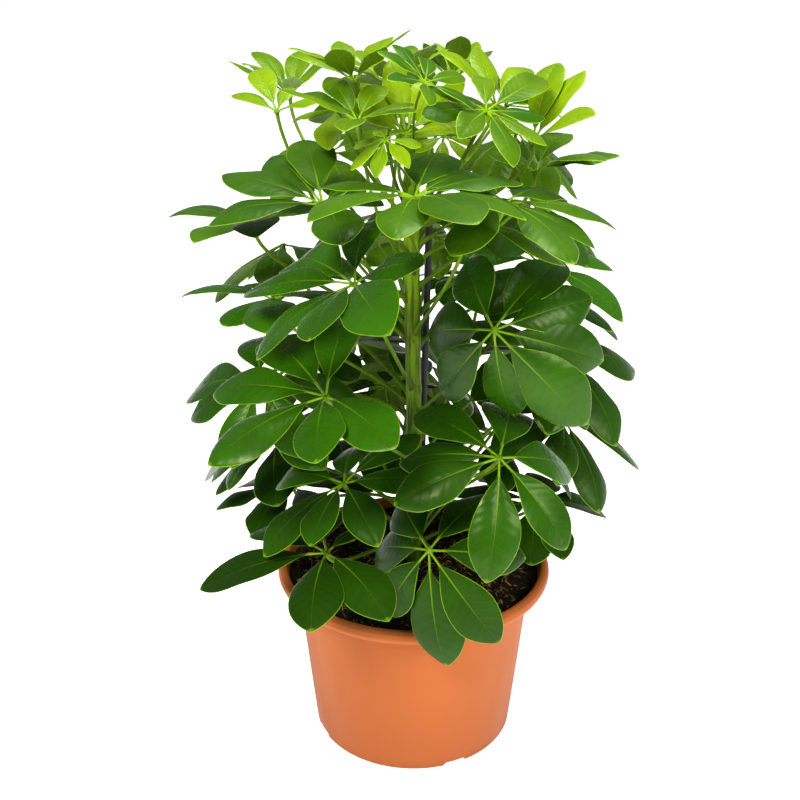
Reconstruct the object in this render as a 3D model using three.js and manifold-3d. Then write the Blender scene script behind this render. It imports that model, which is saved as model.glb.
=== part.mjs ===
// A dwarf umbrella plant in a round plastic nursery pot. Millimetres, +Z up.
// The origin is the middle of the pot's base, on the floor; -Y is the side that faces the viewer.
import * as THREE from 'three';
import { mergeVertices } from 'three/addons/utils/BufferGeometryUtils.js';
import Module from 'manifold-3d';

// Pot
const RIM_RADIUS = 105;
const BASE_RADIUS = 77.8;
const POT_HEIGHT = 140.7;
const WALL = 1.8;
const COLLAR_FOOT = [90.2, 126];
const COLLAR_OUTSIDE = [[93, 129.5], [99, 131], [103.5, 131.3], [RIM_RADIUS, 135], [104, 138.5],
  [101.5, 140.5], [99, POT_HEIGHT]];
const COLLAR_INSIDE = [[97.5, 139], [96.2, 132]];
const FOOT_HEIGHT = 3;
const FLOOR_TOP = 5;
const PAD_RADIUS = 26;
const FOOT_RING = 3.5;
const CORNER_SLOPE = 1.5;
const POT_SIDES = 48;
const NOTCHES = 4;
const NOTCH_WIDTH = 17;
const NOTCH_DEPTH = 6.5;
const NOTCH_AZIMUTH = -66;
const DRAIN_RADIUS = 5.5;
const DRAIN_PLACE = 60;
const DRAIN_SIDES = 8;

// Soil, stem and cane
const GAP = 0.3;
const SOIL_EDGE = 133;
const SOIL_TOP = [[78, 134.3], [54, 135.4], [26, 136], [0, 136]];
const SOIL_SIDES = 40;
const SOIL_ROOM = 0.6;
const SOIL_UNEVEN = 1.6;
const LEVEL_RADIUS = 30;
const HOLE_TOP = 150;
const ROOT_DEPTH = 60;
const STEM_RADIUS = 5.6;
const STEM_SIDES = 10;
const STEM_HOLE = 6.1;
const STEM_HOLE_SIDES = 12;
const STEM_AXIS = [[0, 0, 60], [0.3, 0, 234], [-2.4, 0, 375], [-3, 0, 440]];
const STEM_TIP = 447;
const STEM_NODES = [249, 283, 322, 354, 390, 424];
const NODE_SWELL = 0.5;
const NODE_SPREAD = 5;
const TIP_START = 438;
const TIP_TAPER = 0.3;
const CANE_RADIUS = 2.5;
const CANE_FOOT = [2.7, 11, 60];
const CANE_TOP = [10.9, 12, 450];
const CANE_SIDES = 8;

// Leaf: a leaf stalk with a hub on top and a ring of leaflets, each on its own short stalk
const BLADE_THICKNESS = 0.8;
const STALK_SHARE = 0.14;
const STALK_HALF = [0.75, 0.6];
const WIDEST = 1.357;
const FULLNESS = 0.62;
const BLADE_ROWS = [0, 0.33, 0.7, 0.97];
const HUB_RADIUS = 2.4;
const HUB_HALF_HEIGHT = 0.75;
const HUB_NECK = 1.4;
const SHARED_CORNER = 27;
const BLANK_SIDE = 72;
const GROWN_LENGTH = 60;
const LEAST_HUB = 0.62;
const LEAST_STALK = 0.75;
const LIFT = 3;
const PETIOLE_SIDES = 5;
const PETIOLE_STEPS = [1, 0.66, 0.3, 0];
const PETIOLE_RADII = [1.25, 1.3, 1.45, 2.1];
const PETIOLE_OUT = 0.252;
const PETIOLE_UP = 0.2415;
const PETIOLE_UNDER = 0.22;
const PETIOLE_FOOT = 2;

// Kinds of leaf by age: bend along a leaflet, half its breadth as a share of its length, colour
const MATURE = { slot: 'leaf_mature', bend: 34, breadth: 0.215, colour: 0x2c5a1c, roughness: 0.42 };
const UPPER = { slot: 'leaf_upper', bend: 30, breadth: 0.215, colour: 0x4f8a22, roughness: 0.44 };
const CROWN = { slot: 'leaf_crown', bend: 22, breadth: 0.18, colour: 0x83b52c, roughness: 0.5 };
const YOUNG = { slot: 'leaf_young', bend: 20, breadth: 0.2, colour: 0x8fbf3a, roughness: 0.55 };

// One row a leaf, from the lowest joint on the trunk to the highest: kind, height of the joint, how far
// round from the hub's side the stalk leaves the trunk, place of the hub, azimuth and tilt that the leaf
// faces, droop, then each leaflet's direction and its length.
const LEAVES = [
  [MATURE, 150, 5, [-17, 111, 187], 56, 21, 17,
    [-158, -107, -56, -5, 46, 97, 148], [80, 80, 81, 81, 78, 80, 80]],
  [MATURE, 151, -3, [-62, -78, 191], 194, 9, 2,
    [-148, -95, -51, -6, 71, 107], [40, 92, 76, 94, 89, 88]],
  [MATURE, 154, -12, [94, 19, 178], 356, 13, 8,
    [-139, -92, -69, 30, 78, 125, 173], [69, 74, 66, 76, 72, 72, 66]],
  [MATURE, 155, 27, [6, 109, 262], 61, 43, 28,
    [-160, -109, -58, -7, 44, 95, 146], [86, 84, 79, 75, 84, 83, 75]],
  [MATURE, 157, -1, [9, -108, 211], 243, 48, 38,
    [-127, -90, -35, 11, 50, 109, 168], [85, 84, 70, 91, 80, 73, 78]],
  [MATURE, 158, -14, [69, 87, 203], 27, 23, 12,
    [-166, -115, -64, -13, 38, 89, 140], [77, 81, 82, 80, 80, 82, 78]],
  [MATURE, 161, 1, [-106, 17, 241], 180, 28, 10,
    [-150, -104, -59, -14, 53, 120, 165], [73, 68, 81, 81, 63, 72, 74]],
  [MATURE, 166, -9, [104, 93, 272], 28, 26, 18,
    [-132, -81, -30, 21, 72, 123, 174], [75, 78, 78, 74, 72, 70, 74]],
  [MATURE, 167, -3, [-50, -57, 235], 197, 21, 7,
    [-163, -111, -58, 9, 50, 92, 144], [71, 66, 76, 76, 63, 66, 63]],
  [MATURE, 169, -16, [-109, 73, 207], 179, 23, 9,
    [-168, -114, -63, -12, 39, 90, 141], [43, 75, 75, 80, 71, 87, 72]],
  [MATURE, 177, -12, [114, 31, 245], 346, 23, 18,
    [-177, -124, -78, -46, 23, 76, 130], [68, 73, 67, 80, 84, 71, 36]],
  [MATURE, 179, -2, [-74, 82, 281], 149, 28, 18,
    [-166, -115, -64, -13, 38, 89, 140], [79, 78, 78, 78, 78, 77, 77]],
  [MATURE, 183, 19, [-97, 63, 168], 138, 11, 4,
    [-153, -102, -52, -2, 52, 107, 157], [69, 71, 72, 76, 66, 71, 73]],
  [MATURE, 195, 2, [55, -99, 276], 297, 32, 25,
    [-159, -124, -90, -23, 25, 88, 141], [77, 69, 76, 81, 77, 83, 89]],
  [MATURE, 202, -11, [105, 6, 309], 323, 24, 14,
    [-153, -104, -56, -8, 63, 111, 159], [79, 79, 79, 80, 85, 71, 37]],
  [MATURE, 208, 53, [-58, -105, 323], 222, 20, -4,
    [-146, -106, -59, -11, 47, 81], [81, 92, 83, 89, 78, 83]],
  [MATURE, 224, -2, [-21, 104, 313], 75, 30, 33,
    [-137, -86, -35, 16, 67, 118, 169], [75, 79, 79, 82, 81, 78, 84]],
  [MATURE, 226, -1, [100, 61, 335], 37, 14, 17,
    [-168, -116, -65, -13, 38, 89, 141], [76, 70, 60, 79, 74, 65, 31]],
  [MATURE, 239, 22, [-21, 64, 257], 234, 6, 17,
    [-147, -87, -27, 93, 153], [52, 56, 57, 51, 52]],
  [MATURE, 241, -29, [52, 88, 340], 82, 14, 8,
    [-145, -91, -40, 11, 62, 113, 164], [81, 71, 78, 78, 68, 76, 79]],
  [MATURE, 260, -24, [-110, -10, 294], 245, 33, 23,
    [-146, -91, -63, -8, 48, 103, 159], [72, 91, 69, 68, 68, 71, 70]],
  [MATURE, 265, 1, [50, -83, 360], 247, 64, 39,
    [-139, -88, -42, 7, 52, 87, 124, 162], [81, 95, 79, 72, 96, 84, 76, 84]],
  [MATURE, 272, -18, [-99, -14, 357], 140, 8, -2,
    [-178, -130, -82, -34, 14, 103, 134], [67, 34, 70, 62, 77, 59, 83]],
  [UPPER, 280, 1, [-97, 54, 376], 119, 19, 28,
    [-166, -115, -64, -13, 38, 89, 143], [78, 70, 66, 73, 73, 37, 66]],
  [MATURE, 287, 0, [-38, -119, 403], 196, 30, -6,
    [-124, -77, -43, 11, 55, 88, 132], [70, 92, 84, 77, 74, 88, 61]],
  [UPPER, 315, 9, [17, 64, 378], 326, 12, 12,
    [-174, -114, -54, 6, 66, 126], [56, 64, 50, 45, 49, 51]],
  [MATURE, 317, 14, [88, 12, 375], 314, 17, 5,
    [-129, -76, -45, 17, 71, 124, 177], [67, 74, 74, 73, 67, 62, 66]],
  [UPPER, 323, -7, [-111, -5, 407], 103, 9, -5,
    [-69, -11, 47, 139, 175], [76, 66, 75, 66, 75]],
  [UPPER, 329, -4, [33, -71, 429], 265, 11, 27,
    [-155, 100], [73, 75]],
  [UPPER, 332, 23, [-63, 58, 442], 209, 18, 7,
    [-180, -129, -78, -27, 24, 75, 126], [58, 65, 63, 59, 68, 74, 53]],
  [UPPER, 333, 2, [-16, 118, 385], 99, 25, 21,
    [-144, -93, -42, 9, 60, 111, 165], [78, 73, 73, 71, 80, 79, 68]],
  [UPPER, 341, -25, [86, 71, 403], 14, 16, 20,
    [-170, -119, -65, -14, 37, 88, 139], [72, 78, 76, 70, 67, 69, 73]],
  [CROWN, 342, 6, [-92, -5, 485], 258, 18, -8,
    [-149, -115, 108, 178], [53, 40, 38, 33]],
  [UPPER, 346, 29, [-9, 110, 460], 83, 46, 2,
    [-161, -110, -59, -8, 43, 94, 145], [67, 71, 62, 69, 72, 71, 69]],
  [UPPER, 353, -13, [-59, -73, 440], 239, 15, -7,
    [-141, -121, -86, -54, 46, 104, 161], [75, 81, 75, 74, 74, 41, 29]],
  [CROWN, 355, 1, [-95, 134, 470], 145, 0, -33,
    [-114, -62, -16, 32, 82, 134], [46, 56, 58, 54, 56, 44]],
  [UPPER, 362, -2, [79, -20, 448], 164, 7, -12,
    [-101, -41, 141, 174], [61, 51, 71, 59]],
  [CROWN, 374, 39, [-36, -85, 494], 293, 6, -17,
    [-176, -146, -115, -29, 23, 98, 140], [50, 49, 52, 50, 50, 40, 47]],
  [UPPER, 380, 22, [53, -98, 448], 312, 7, 8,
    [-132, -72, -12, 16, 47, 108, 168], [67, 67, 76, 64, 72, 86, 67]],
  [CROWN, 381, -9, [-39, -40, 510], 155, 8, -32,
    [-152, -101, -50, 1, 52, 103, 154], [48, 52, 43, 49, 51, 51, 43]],
  [UPPER, 385, 30, [74, 69, 457], 63, 8, 40,
    [-132, -81, -30, 21, 72, 123, 177], [76, 68, 72, 72, 60, 71, 69]],
  [UPPER, 386, -27, [-2, -125, 458], 257, 2, -3,
    [-180, -107, -38, 3, 38, 80, 117, 154], [82, 66, 77, 69, 84, 69, 67, 72]],
  [CROWN, 392, 2, [75, -34, 470], 219, 25, -24,
    [-160, -95, 102, 175], [65, 57, 62, 61]],
  [CROWN, 412, 17, [42, -72, 498], 313, 28, -5,
    [-129, -97, -65, -22, 11, 66, 99, 144], [40, 51, 48, 53, 46, 42, 64, 43]],
  [CROWN, 413, -9, [63, 32, 482], 22, 33, -22,
    [-175, -124, -73, -22, 29, 80, 131], [46, 42, 44, 44, 42, 43, 49]],
  [CROWN, 413, 8, [-52, 4, 484], 184, 18, 4,
    [-137, -88, -39, 76, 125, 174], [39, 44, 44, 56, 44, 43]],
  [CROWN, 420, 10, [-18, 19, 497], 117, 7, -30,
    [-156, -105, -54, -3, 48, 99, 150], [52, 48, 51, 54, 45, 42, 42]],
  [CROWN, 421, -1, [51, -33, 493], 333, 16, -26,
    [-174, 96, 141], [54, 55, 53]],
  [CROWN, 422, 6, [4, -91, 518], 332, 33, -7,
    [-150, -104, -60, 30, 75, 120, 165], [34, 35, 35, 35, 35, 35, 35]],
  [CROWN, 428, -3, [27, 85, 489], 62, 11, -40,
    [-148, -97, -46, 5, 56, 107, 158], [52, 41, 40, 52, 40, 40, 40]],
  [CROWN, 431, -35, [-7, -39, 476], 286, 35, -26,
    [-176, -142, -108, 82, 116, 150], [52, 44, 46, 42, 52, 46]],
  [YOUNG, 436, -6, [-19, -105, 488], 245, 22, 18,
    [-141, -93, -34, 6, 55, 113, 171], [22, 25, 27, 26, 25, 22, 25]],
  [YOUNG, 437, -8, [19, -3, 468], 290, 26, 11,
    [-179, -125, -74, -23, 28, 79, 130], [24, 24, 24, 24, 24, 24, 24]],
];

const rad = THREE.MathUtils.degToRad;
const UP = new THREE.Vector3(0, 0, 1);
const wasm = await Module();
wasm.setup();

// A seeded draw between 0 and 1.
function seeded(seed) {
  let state = seed;
  return () => {
    state = (state * 16807) % 2147483647;
    return state / 2147483647;
  };
}

// A geometry's corners alone, each point held once.
function joined(geometry) {
  const bare = geometry.clone();
  bare.deleteAttribute('normal');
  bare.deleteAttribute('uv');
  return mergeVertices(bare, 1e-4);
}

function toSolid(geometry) {
  const merged = joined(geometry);
  const vertProperties = merged.attributes.position.array;
  const triVerts = new Uint32Array(merged.index.array);
  return new wasm.Manifold(new wasm.Mesh({ numProp: 3, vertProperties, triVerts }));
}

function toGeometry(solid) {
  const mesh = solid.getMesh();
  const geometry = new THREE.BufferGeometry();
  geometry.setAttribute('position', new THREE.BufferAttribute(new Float32Array(mesh.vertProperties), 3));
  geometry.setIndex(new THREE.BufferAttribute(new Uint32Array(mesh.triVerts), 1));
  return geometry;
}

// A named mesh with a material of its own and flat faces.
function node(name, slot, geometry, colour, roughness) {
  const material = new THREE.MeshStandardMaterial({ color: colour, roughness, metalness: 0 });
  material.name = slot;
  const shaded = geometry.index ? geometry.toNonIndexed() : geometry;
  shaded.computeVertexNormals();
  const mesh = new THREE.Mesh(shaded, material);
  mesh.name = name;
  return mesh;
}

// A solid of revolution about the pot's axis from (radius, height) points, bottom to top on the outside.
function turned(profile, sides) {
  const geometry = new THREE.LatheGeometry(profile.map(([r, z]) => new THREE.Vector2(r, z)), sides);
  return geometry.rotateX(Math.PI / 2);
}

// A body built up from rings of points, with walls between them and caps at its ends.
class Skin {
  constructor() {
    this.points = [];
    this.faces = [];
  }

  add(point) {
    return this.points.push(point) - 1;
  }

  ring(points) {
    return points.map((point) => this.add(point));
  }

  triangle(a, b, c) {
    this.faces.push(a, b, c);
  }

  // Walls between two rings that run the same way round; the second lies ahead of the first.
  walls(near, far) {
    near.forEach((a, i) => {
      const next = (i + 1) % near.length;
      this.triangle(a, near[next], far[next]);
      this.triangle(a, far[next], far[i]);
    });
  }

  cap(ring, ahead) {
    for (let i = 1; i < ring.length - 1; i++) {
      if (ahead) this.triangle(ring[0], ring[i], ring[i + 1]);
      else this.triangle(ring[0], ring[i + 1], ring[i]);
    }
  }

  geometry() {
    const geometry = new THREE.BufferGeometry();
    const flat = this.points.flatMap((p) => [p.x, p.y, p.z]);
    geometry.setAttribute('position', new THREE.BufferAttribute(new Float32Array(flat), 3));
    geometry.setIndex(this.faces);
    return geometry;
  }
}

// A straight round pin between two points, with flat ends.
function pin(from, to, radius, sides) {
  const round = new THREE.Shape();
  for (let i = 0; i < sides; i++) {
    const turn = (2 * Math.PI * i) / sides;
    round[i ? 'lineTo' : 'moveTo'](radius * Math.cos(turn), radius * Math.sin(turn));
  }
  round.closePath();
  const path = new THREE.LineCurve3(new THREE.Vector3(...from), new THREE.Vector3(...to));
  return new THREE.ExtrudeGeometry(round, { steps: 1, bevelEnabled: false, extrudePath: path });
}

// The wall's outer radius at a height, up to the collar.
function wallRadius(z) {
  return BASE_RADIUS + ((COLLAR_FOOT[0] - BASE_RADIUS) * z) / COLLAR_FOOT[1];
}

// The pot's inner profile from the collar's top down to the floor's edge.
function potInside() {
  const [, foot] = COLLAR_FOOT;
  return [...COLLAR_INSIDE, [wallRadius(foot) - WALL, foot], [wallRadius(FLOOR_TOP) - WALL, FLOOR_TOP]];
}

function pot() {
  const ringInside = BASE_RADIUS - FOOT_RING;
  const under = [[0, 0], [PAD_RADIUS, 0], [PAD_RADIUS + CORNER_SLOPE, FOOT_HEIGHT],
    [ringInside - CORNER_SLOPE, FOOT_HEIGHT], [ringInside, 0]];
  const outside = [[BASE_RADIUS, 0], COLLAR_FOOT, ...COLLAR_OUTSIDE];
  let solid = toSolid(turned([...under, ...outside, ...potInside(), [0, FLOOR_TOP]], POT_SIDES));
  for (let i = 0; i < NOTCHES; i++) {
    const turn = rad(NOTCH_AZIMUTH + (360 * i) / NOTCHES);
    const notch = new THREE.BoxGeometry(2 * NOTCH_DEPTH, NOTCH_WIDTH, 2 * FOOT_HEIGHT);
    notch.translate(BASE_RADIUS, 0, 0).rotateZ(turn);
    solid = solid.subtract(toSolid(notch));
    const place = [DRAIN_PLACE * Math.cos(turn), DRAIN_PLACE * Math.sin(turn)];
    const drain = pin([...place, -1], [...place, FLOOR_TOP + 1], DRAIN_RADIUS, DRAIN_SIDES);
    solid = solid.subtract(toSolid(drain));
  }
  return toGeometry(solid);
}

// The potting soil: it fills the pot a hair off the wall and is gently domed and uneven on top.
function soil() {
  const draw = seeded(11);
  const [lip, ...wall] = potInside().map(([radius, z]) => [radius - SOIL_ROOM, z]).reverse();
  const bottom = FLOOR_TOP + GAP;
  const [collarTop, collarFoot] = [wall[2], wall[1]];
  const rise = (SOIL_EDGE - collarFoot[1]) / (collarTop[1] - collarFoot[1]);
  const edge = [collarFoot[0] + rise * (collarTop[0] - collarFoot[0]), SOIL_EDGE];
  const profile = [[0, bottom], [lip[0], bottom], wall[0], collarFoot, edge, ...SOIL_TOP];
  const geometry = joined(turned(profile, SOIL_SIDES));
  const place = geometry.attributes.position;
  for (let i = 0; i < place.count; i++) {
    const radius = Math.hypot(place.getX(i), place.getY(i));
    if (place.getZ(i) <= SOIL_EDGE || radius < LEVEL_RADIUS) continue;
    place.setZ(i, place.getZ(i) + SOIL_UNEVEN * (draw() - 0.5));
  }
  const [stemX, stemY] = STEM_AXIS[0];
  const [caneX, caneY] = CANE_FOOT;
  const deep = ROOT_DEPTH - GAP;
  const stemHole = pin([stemX, stemY, deep], alongLine(STEM_AXIS, HOLE_TOP), STEM_HOLE, STEM_HOLE_SIDES);
  const caneHole = pin([caneX, caneY, deep], canePlace(HOLE_TOP), CANE_RADIUS + GAP, CANE_SIDES);
  return toGeometry(toSolid(geometry).subtract(toSolid(stemHole)).subtract(toSolid(caneHole)));
}

// The place at a height on a line through points that climb.
function alongLine(points, z) {
  let i = 1;
  while (i < points.length - 1 && points[i][2] < z) i++;
  const [a, b] = [points[i - 1], points[i]];
  const share = (z - a[2]) / (b[2] - a[2]);
  return [0, 1, 2].map((k) => a[k] + share * (b[k] - a[k]));
}

function canePlace(z) {
  return alongLine([CANE_FOOT, CANE_TOP], z);
}

// The trunk's radius at a height: it swells a little at each leaf joint and narrows to its tip.
function stemRadius(z) {
  const swell = Math.max(0, ...STEM_NODES.map((joint) => 1 - Math.abs(z - joint) / NODE_SPREAD));
  return STEM_RADIUS + NODE_SWELL * swell - Math.max(0, z - TIP_START) * TIP_TAPER;
}

// The trunk: upright rings that swell a little at each leaf joint and close in a blunt tip.
function mainStem() {
  const joints = STEM_NODES.flatMap((z) => [z - NODE_SPREAD, z, z + NODE_SPREAD]);
  const heights = [ROOT_DEPTH, STEM_AXIS[1][2], ...joints, TIP_START, STEM_TIP];
  const skin = new Skin();
  let last = null;
  for (const z of heights) {
    const [x, y] = alongLine(STEM_AXIS, z);
    const radius = stemRadius(z);
    const ring = [];
    for (let i = 0; i < STEM_SIDES; i++) {
      const turn = (2 * Math.PI * i) / STEM_SIDES;
      ring.push(new THREE.Vector3(x + radius * Math.cos(turn), y + radius * Math.sin(turn), z));
    }
    const made = skin.ring(ring);
    if (last) skin.walls(last, made);
    else skin.cap(made, false);
    last = made;
  }
  skin.cap(last, true);
  return skin.geometry();
}

// The leaf's own frame: its plane's normal, the downhill direction and the direction across.
function leafFrame(azimuth, tilt) {
  const [a, t] = [rad(azimuth), rad(tilt)];
  const outward = new THREE.Vector3(Math.cos(a), Math.sin(a), 0);
  const normal = outward.clone().multiplyScalar(Math.sin(t)).addScaledVector(UP, Math.cos(t));
  const downhill = outward.clone().multiplyScalar(Math.cos(t)).addScaledVector(UP, -Math.sin(t));
  return { normal, downhill, across: new THREE.Vector3().crossVectors(normal, downhill) };
}

// Half the blade's breadth, as a share of its greatest, at a share of the blade's length.
function bladeBreadth(share) {
  return Math.max(0, Math.sin(Math.PI * share ** WIDEST)) ** FULLNESS;
}

// One leaflet: a stalk from the hub's side, then a thin blade that arches downwards.
function addLeaflet(skin, hub, frame, kind, turn, length, droop, root) {
  const along = frame.downhill.clone().multiplyScalar(Math.cos(turn))
    .addScaledVector(frame.across, Math.sin(turn));
  const sideways = new THREE.Vector3().crossVectors(frame.normal, along);
  const bend = rad(kind.bend);
  const start = rad(droop) - bend / 2;
  const small = Math.min(1, length / GROWN_LENGTH);
  let last = root;
  for (const share of BLADE_ROWS) {
    const way = STALK_SHARE + (1 - STALK_SHARE) * share;
    const slope = start + bend * way;
    const ahead = (length * (Math.sin(slope) - Math.sin(start))) / bend;
    const down = (length * (Math.cos(start) - Math.cos(slope))) / bend;
    const middle = hub.clone().addScaledVector(along, ahead).addScaledVector(frame.normal, -down);
    const face = along.clone().multiplyScalar(Math.sin(slope)).addScaledVector(frame.normal, Math.cos(slope));
    const half = Math.max(STALK_HALF[0] * small, kind.breadth * length * bladeBreadth(share));
    const thick = share ? BLADE_THICKNESS / 2 : STALK_HALF[1] * Math.max(LEAST_STALK, small);
    const corner = (side, top) => middle.clone().addScaledVector(sideways, side * half)
      .addScaledVector(face, top * thick);
    const row = skin.ring([corner(-1, -1), corner(1, -1), corner(1, 1), corner(-1, 1)]);
    bladeWalls(skin, last, row);
    last = row;
  }
  skin.triangle(last[0], last[1], last[2]);
  skin.triangle(last[0], last[2], last[3]);
}

// Walls between two rows of a blade, split the same way on its top and its underside.
function bladeWalls(skin, near, far) {
  const quad = (a, b, c, d) => {
    skin.triangle(a, b, c);
    skin.triangle(a, c, d);
  };
  quad(near[0], near[1], far[1], far[0]);
  quad(near[1], near[2], far[2], far[1]);
  quad(near[3], far[3], far[2], near[2]);
  quad(near[3], near[0], far[0], far[3]);
}

// The hub's corners: one shared by neighbouring leaflets, or one for each where they stand apart, with
// blank sides between. Each leaflet's root is the side between two of them.
function hubCorners(turns) {
  const corners = [];
  const roots = [];
  turns.forEach((turn, i) => {
    const last = i === turns.length - 1;
    const before = i ? turn - turns[i - 1] : turn + 360 - turns[turns.length - 1];
    const after = last ? turns[0] + 360 - turn : turns[i + 1] - turn;
    const apart = after / 2 > SHARED_CORNER;
    if (!i || before / 2 > SHARED_CORNER) corners.push(turn - Math.min(before / 2, SHARED_CORNER));
    const first = corners.length - 1;
    if (last && !apart) {
      roots.push([first, 0]);
      return;
    }
    corners.push(turn + Math.min(after / 2, SHARED_CORNER));
    roots.push([first, first + 1]);
    const blank = after - 2 * SHARED_CORNER;
    const blanks = apart ? Math.floor(blank / BLANK_SIDE) : 0;
    for (let k = 1; k <= blanks; k++) corners.push(turn + SHARED_CORNER + (blank * k) / (blanks + 1));
  });
  return { corners, roots };
}

// Walls between a ring of even steps below and the hub's uneven corners above; both start together.
function stitch(skin, lower, upper, corners) {
  let [i, j] = [0, 0];
  while (i < upper.length || j < lower.length) {
    const nextUpper = i + 1 < upper.length ? corners[i + 1] - corners[0] : 360;
    const nextLower = (360 * (j + 1)) / lower.length;
    const upperNow = upper[i % upper.length];
    const lowerNow = lower[j % lower.length];
    if (i < upper.length && (nextUpper <= nextLower || j >= lower.length)) {
      i++;
      skin.triangle(lowerNow, upper[i % upper.length], upperNow);
    } else {
      j++;
      skin.triangle(lowerNow, lower[j % lower.length], upperNow);
    }
  }
}

// The leaf stalk's middle line: it leaves the trunk obliquely and meets the hub from below.
function petioleLine({ foot, flat }, hub, normal) {
  const reach = hub.distanceTo(foot);
  const first = foot.clone().addScaledVector(flat, PETIOLE_OUT * reach)
    .addScaledVector(UP, PETIOLE_UP * reach);
  const second = hub.clone().addScaledVector(normal, -PETIOLE_UNDER * reach);
  return new THREE.CubicBezierCurve3(foot, first, second, hub);
}

// Where a leaf joins the trunk, a gap off its surface, and the level direction in which it leaves.
function jointPlace(height, swing, hub) {
  const [x, y] = alongLine(STEM_AXIS, height);
  const round = Math.atan2(hub.y - y, hub.x - x) + rad(swing);
  const flat = new THREE.Vector3(Math.cos(round), Math.sin(round), 0);
  const span = [-PETIOLE_FOOT, 0, PETIOLE_FOOT];
  const reach = Math.max(...span.map((off) => stemRadius(height + off))) + GAP;
  return { foot: new THREE.Vector3(x, y, height).addScaledVector(flat, reach), flat };
}

// The leaf stalk: rings from the neck under the hub down to a swollen foot flat against the trunk.
function addPetiole(skin, hub, frame, corners, joint, small) {
  const curve = petioleLine(joint, hub, frame.normal);
  const neck = hub.clone().addScaledVector(frame.normal, -(HUB_HALF_HEIGHT + HUB_NECK) * small);
  const [a, b] = [frame.downhill.clone(), frame.across.clone()];
  let tangent = frame.normal;
  let above = null;
  PETIOLE_STEPS.forEach((t, step) => {
    const centre = t === 1 ? neck : curve.getPoint(t);
    let ahead = curve.getTangent(t);
    if (t === 1) ahead = frame.normal;
    if (t === 0) ahead = joint.flat;
    const bent = new THREE.Quaternion().setFromUnitVectors(tangent, ahead);
    a.applyQuaternion(bent);
    b.applyQuaternion(bent);
    tangent = ahead;
    const radius = PETIOLE_RADII[step] * small;
    const ring = [];
    for (let i = 0; i < PETIOLE_SIDES; i++) {
      const turn = rad(corners[0]) + (2 * Math.PI * i) / PETIOLE_SIDES;
      ring.push(centre.clone().addScaledVector(a, radius * Math.cos(turn))
        .addScaledVector(b, radius * Math.sin(turn)));
    }
    const made = skin.ring(ring);
    if (above) skin.walls(made, above);
    else skin.neck = made;
    above = made;
  });
  skin.cap(above, false);
}

// A whole leaf in one closed skin: hub, leaflets and leaf stalk.
function leaf([kind, height, swing, hubPlace, azimuth, tilt, droop, turns, lengths]) {
  const skin = new Skin();
  const hub = new THREE.Vector3(...hubPlace);
  const frame = leafFrame(azimuth, tilt);
  const small = Math.min(1, Math.max(LEAST_HUB, Math.max(...lengths) / GROWN_LENGTH));
  const { corners, roots } = hubCorners(turns);
  const rim = (top) => skin.ring(corners.map((corner) => hub.clone()
    .addScaledVector(frame.downhill, HUB_RADIUS * small * Math.cos(rad(corner)))
    .addScaledVector(frame.across, HUB_RADIUS * small * Math.sin(rad(corner)))
    .addScaledVector(frame.normal, top * HUB_HALF_HEIGHT * small)));
  const [under, over] = [rim(-1), rim(1)];
  skin.cap(over, true);
  const isRoot = new Set(roots.map(([first]) => first));
  corners.forEach((corner, i) => {
    const next = (i + 1) % corners.length;
    if (isRoot.has(i)) return;
    skin.triangle(under[i], under[next], over[next]);
    skin.triangle(under[i], over[next], over[i]);
  });
  roots.forEach(([first, second], i) => {
    const root = [under[first], under[second], over[second], over[first]];
    const alone = i === roots.length - 1 && i % 2 === 0;
    const lift = alone ? 0 : LIFT * (i % 2 ? 1 : -1);
    addLeaflet(skin, hub, frame, kind, rad(turns[i]), lengths[i], droop + lift, root);
  });
  addPetiole(skin, hub, frame, corners, jointPlace(height, swing, hub), small);
  stitch(skin, skin.neck, under, corners);
  return skin.geometry();
}

const plant = new THREE.Group();
plant.name = 'potted_umbrella_plant';
plant.add(node('pot', 'pot_plastic', pot(), 0xd9733f, 0.55));
plant.add(node('soil', 'potting_soil', soil(), 0x2b1d14, 0.95));
const cane = pin(CANE_FOOT, CANE_TOP, CANE_RADIUS, CANE_SIDES);
plant.add(node('support_cane', 'cane_black', cane, 0x1a1c1b, 0.6));
plant.add(node('main_stem', 'stem_green', mainStem(), 0x7f9b35, 0.55));
LEAVES.forEach((row, i) => {
  const name = `leaf_${String(i + 1).padStart(2, '0')}`;
  plant.add(node(name, row[0].slot, leaf(row), row[0].colour, row[0].roughness));
});

export default plant;
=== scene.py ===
"""A dwarf umbrella plant in a round plastic nursery pot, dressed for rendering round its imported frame."""

import math

import bpy
import numpy as np
from bpy.props import FloatProperty, FloatVectorProperty, IntProperty, PointerProperty
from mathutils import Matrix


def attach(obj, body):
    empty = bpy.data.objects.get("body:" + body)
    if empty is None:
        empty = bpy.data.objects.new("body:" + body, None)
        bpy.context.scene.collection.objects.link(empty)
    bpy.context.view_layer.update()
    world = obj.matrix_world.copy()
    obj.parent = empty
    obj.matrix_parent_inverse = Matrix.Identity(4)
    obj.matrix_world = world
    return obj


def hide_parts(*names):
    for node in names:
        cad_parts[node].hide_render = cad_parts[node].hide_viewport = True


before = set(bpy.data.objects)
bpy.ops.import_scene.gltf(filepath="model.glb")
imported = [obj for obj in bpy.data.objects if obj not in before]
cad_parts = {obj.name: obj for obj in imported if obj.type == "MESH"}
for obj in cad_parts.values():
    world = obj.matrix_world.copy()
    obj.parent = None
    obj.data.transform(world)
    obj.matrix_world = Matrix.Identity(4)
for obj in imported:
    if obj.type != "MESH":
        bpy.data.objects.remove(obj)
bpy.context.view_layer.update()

bl_info = {
    "name": "Potted Umbrella Plant",
    "version": (1, 0, 0),
    "blender": (4, 5, 0),
    "location": "3D View > Sidebar > Plant",
    "description": "Builds the leaves, trunk, soil and pot of a dwarf umbrella plant",
    "category": "Object",
}

MM = 0.001
SEED = 11837

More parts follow.
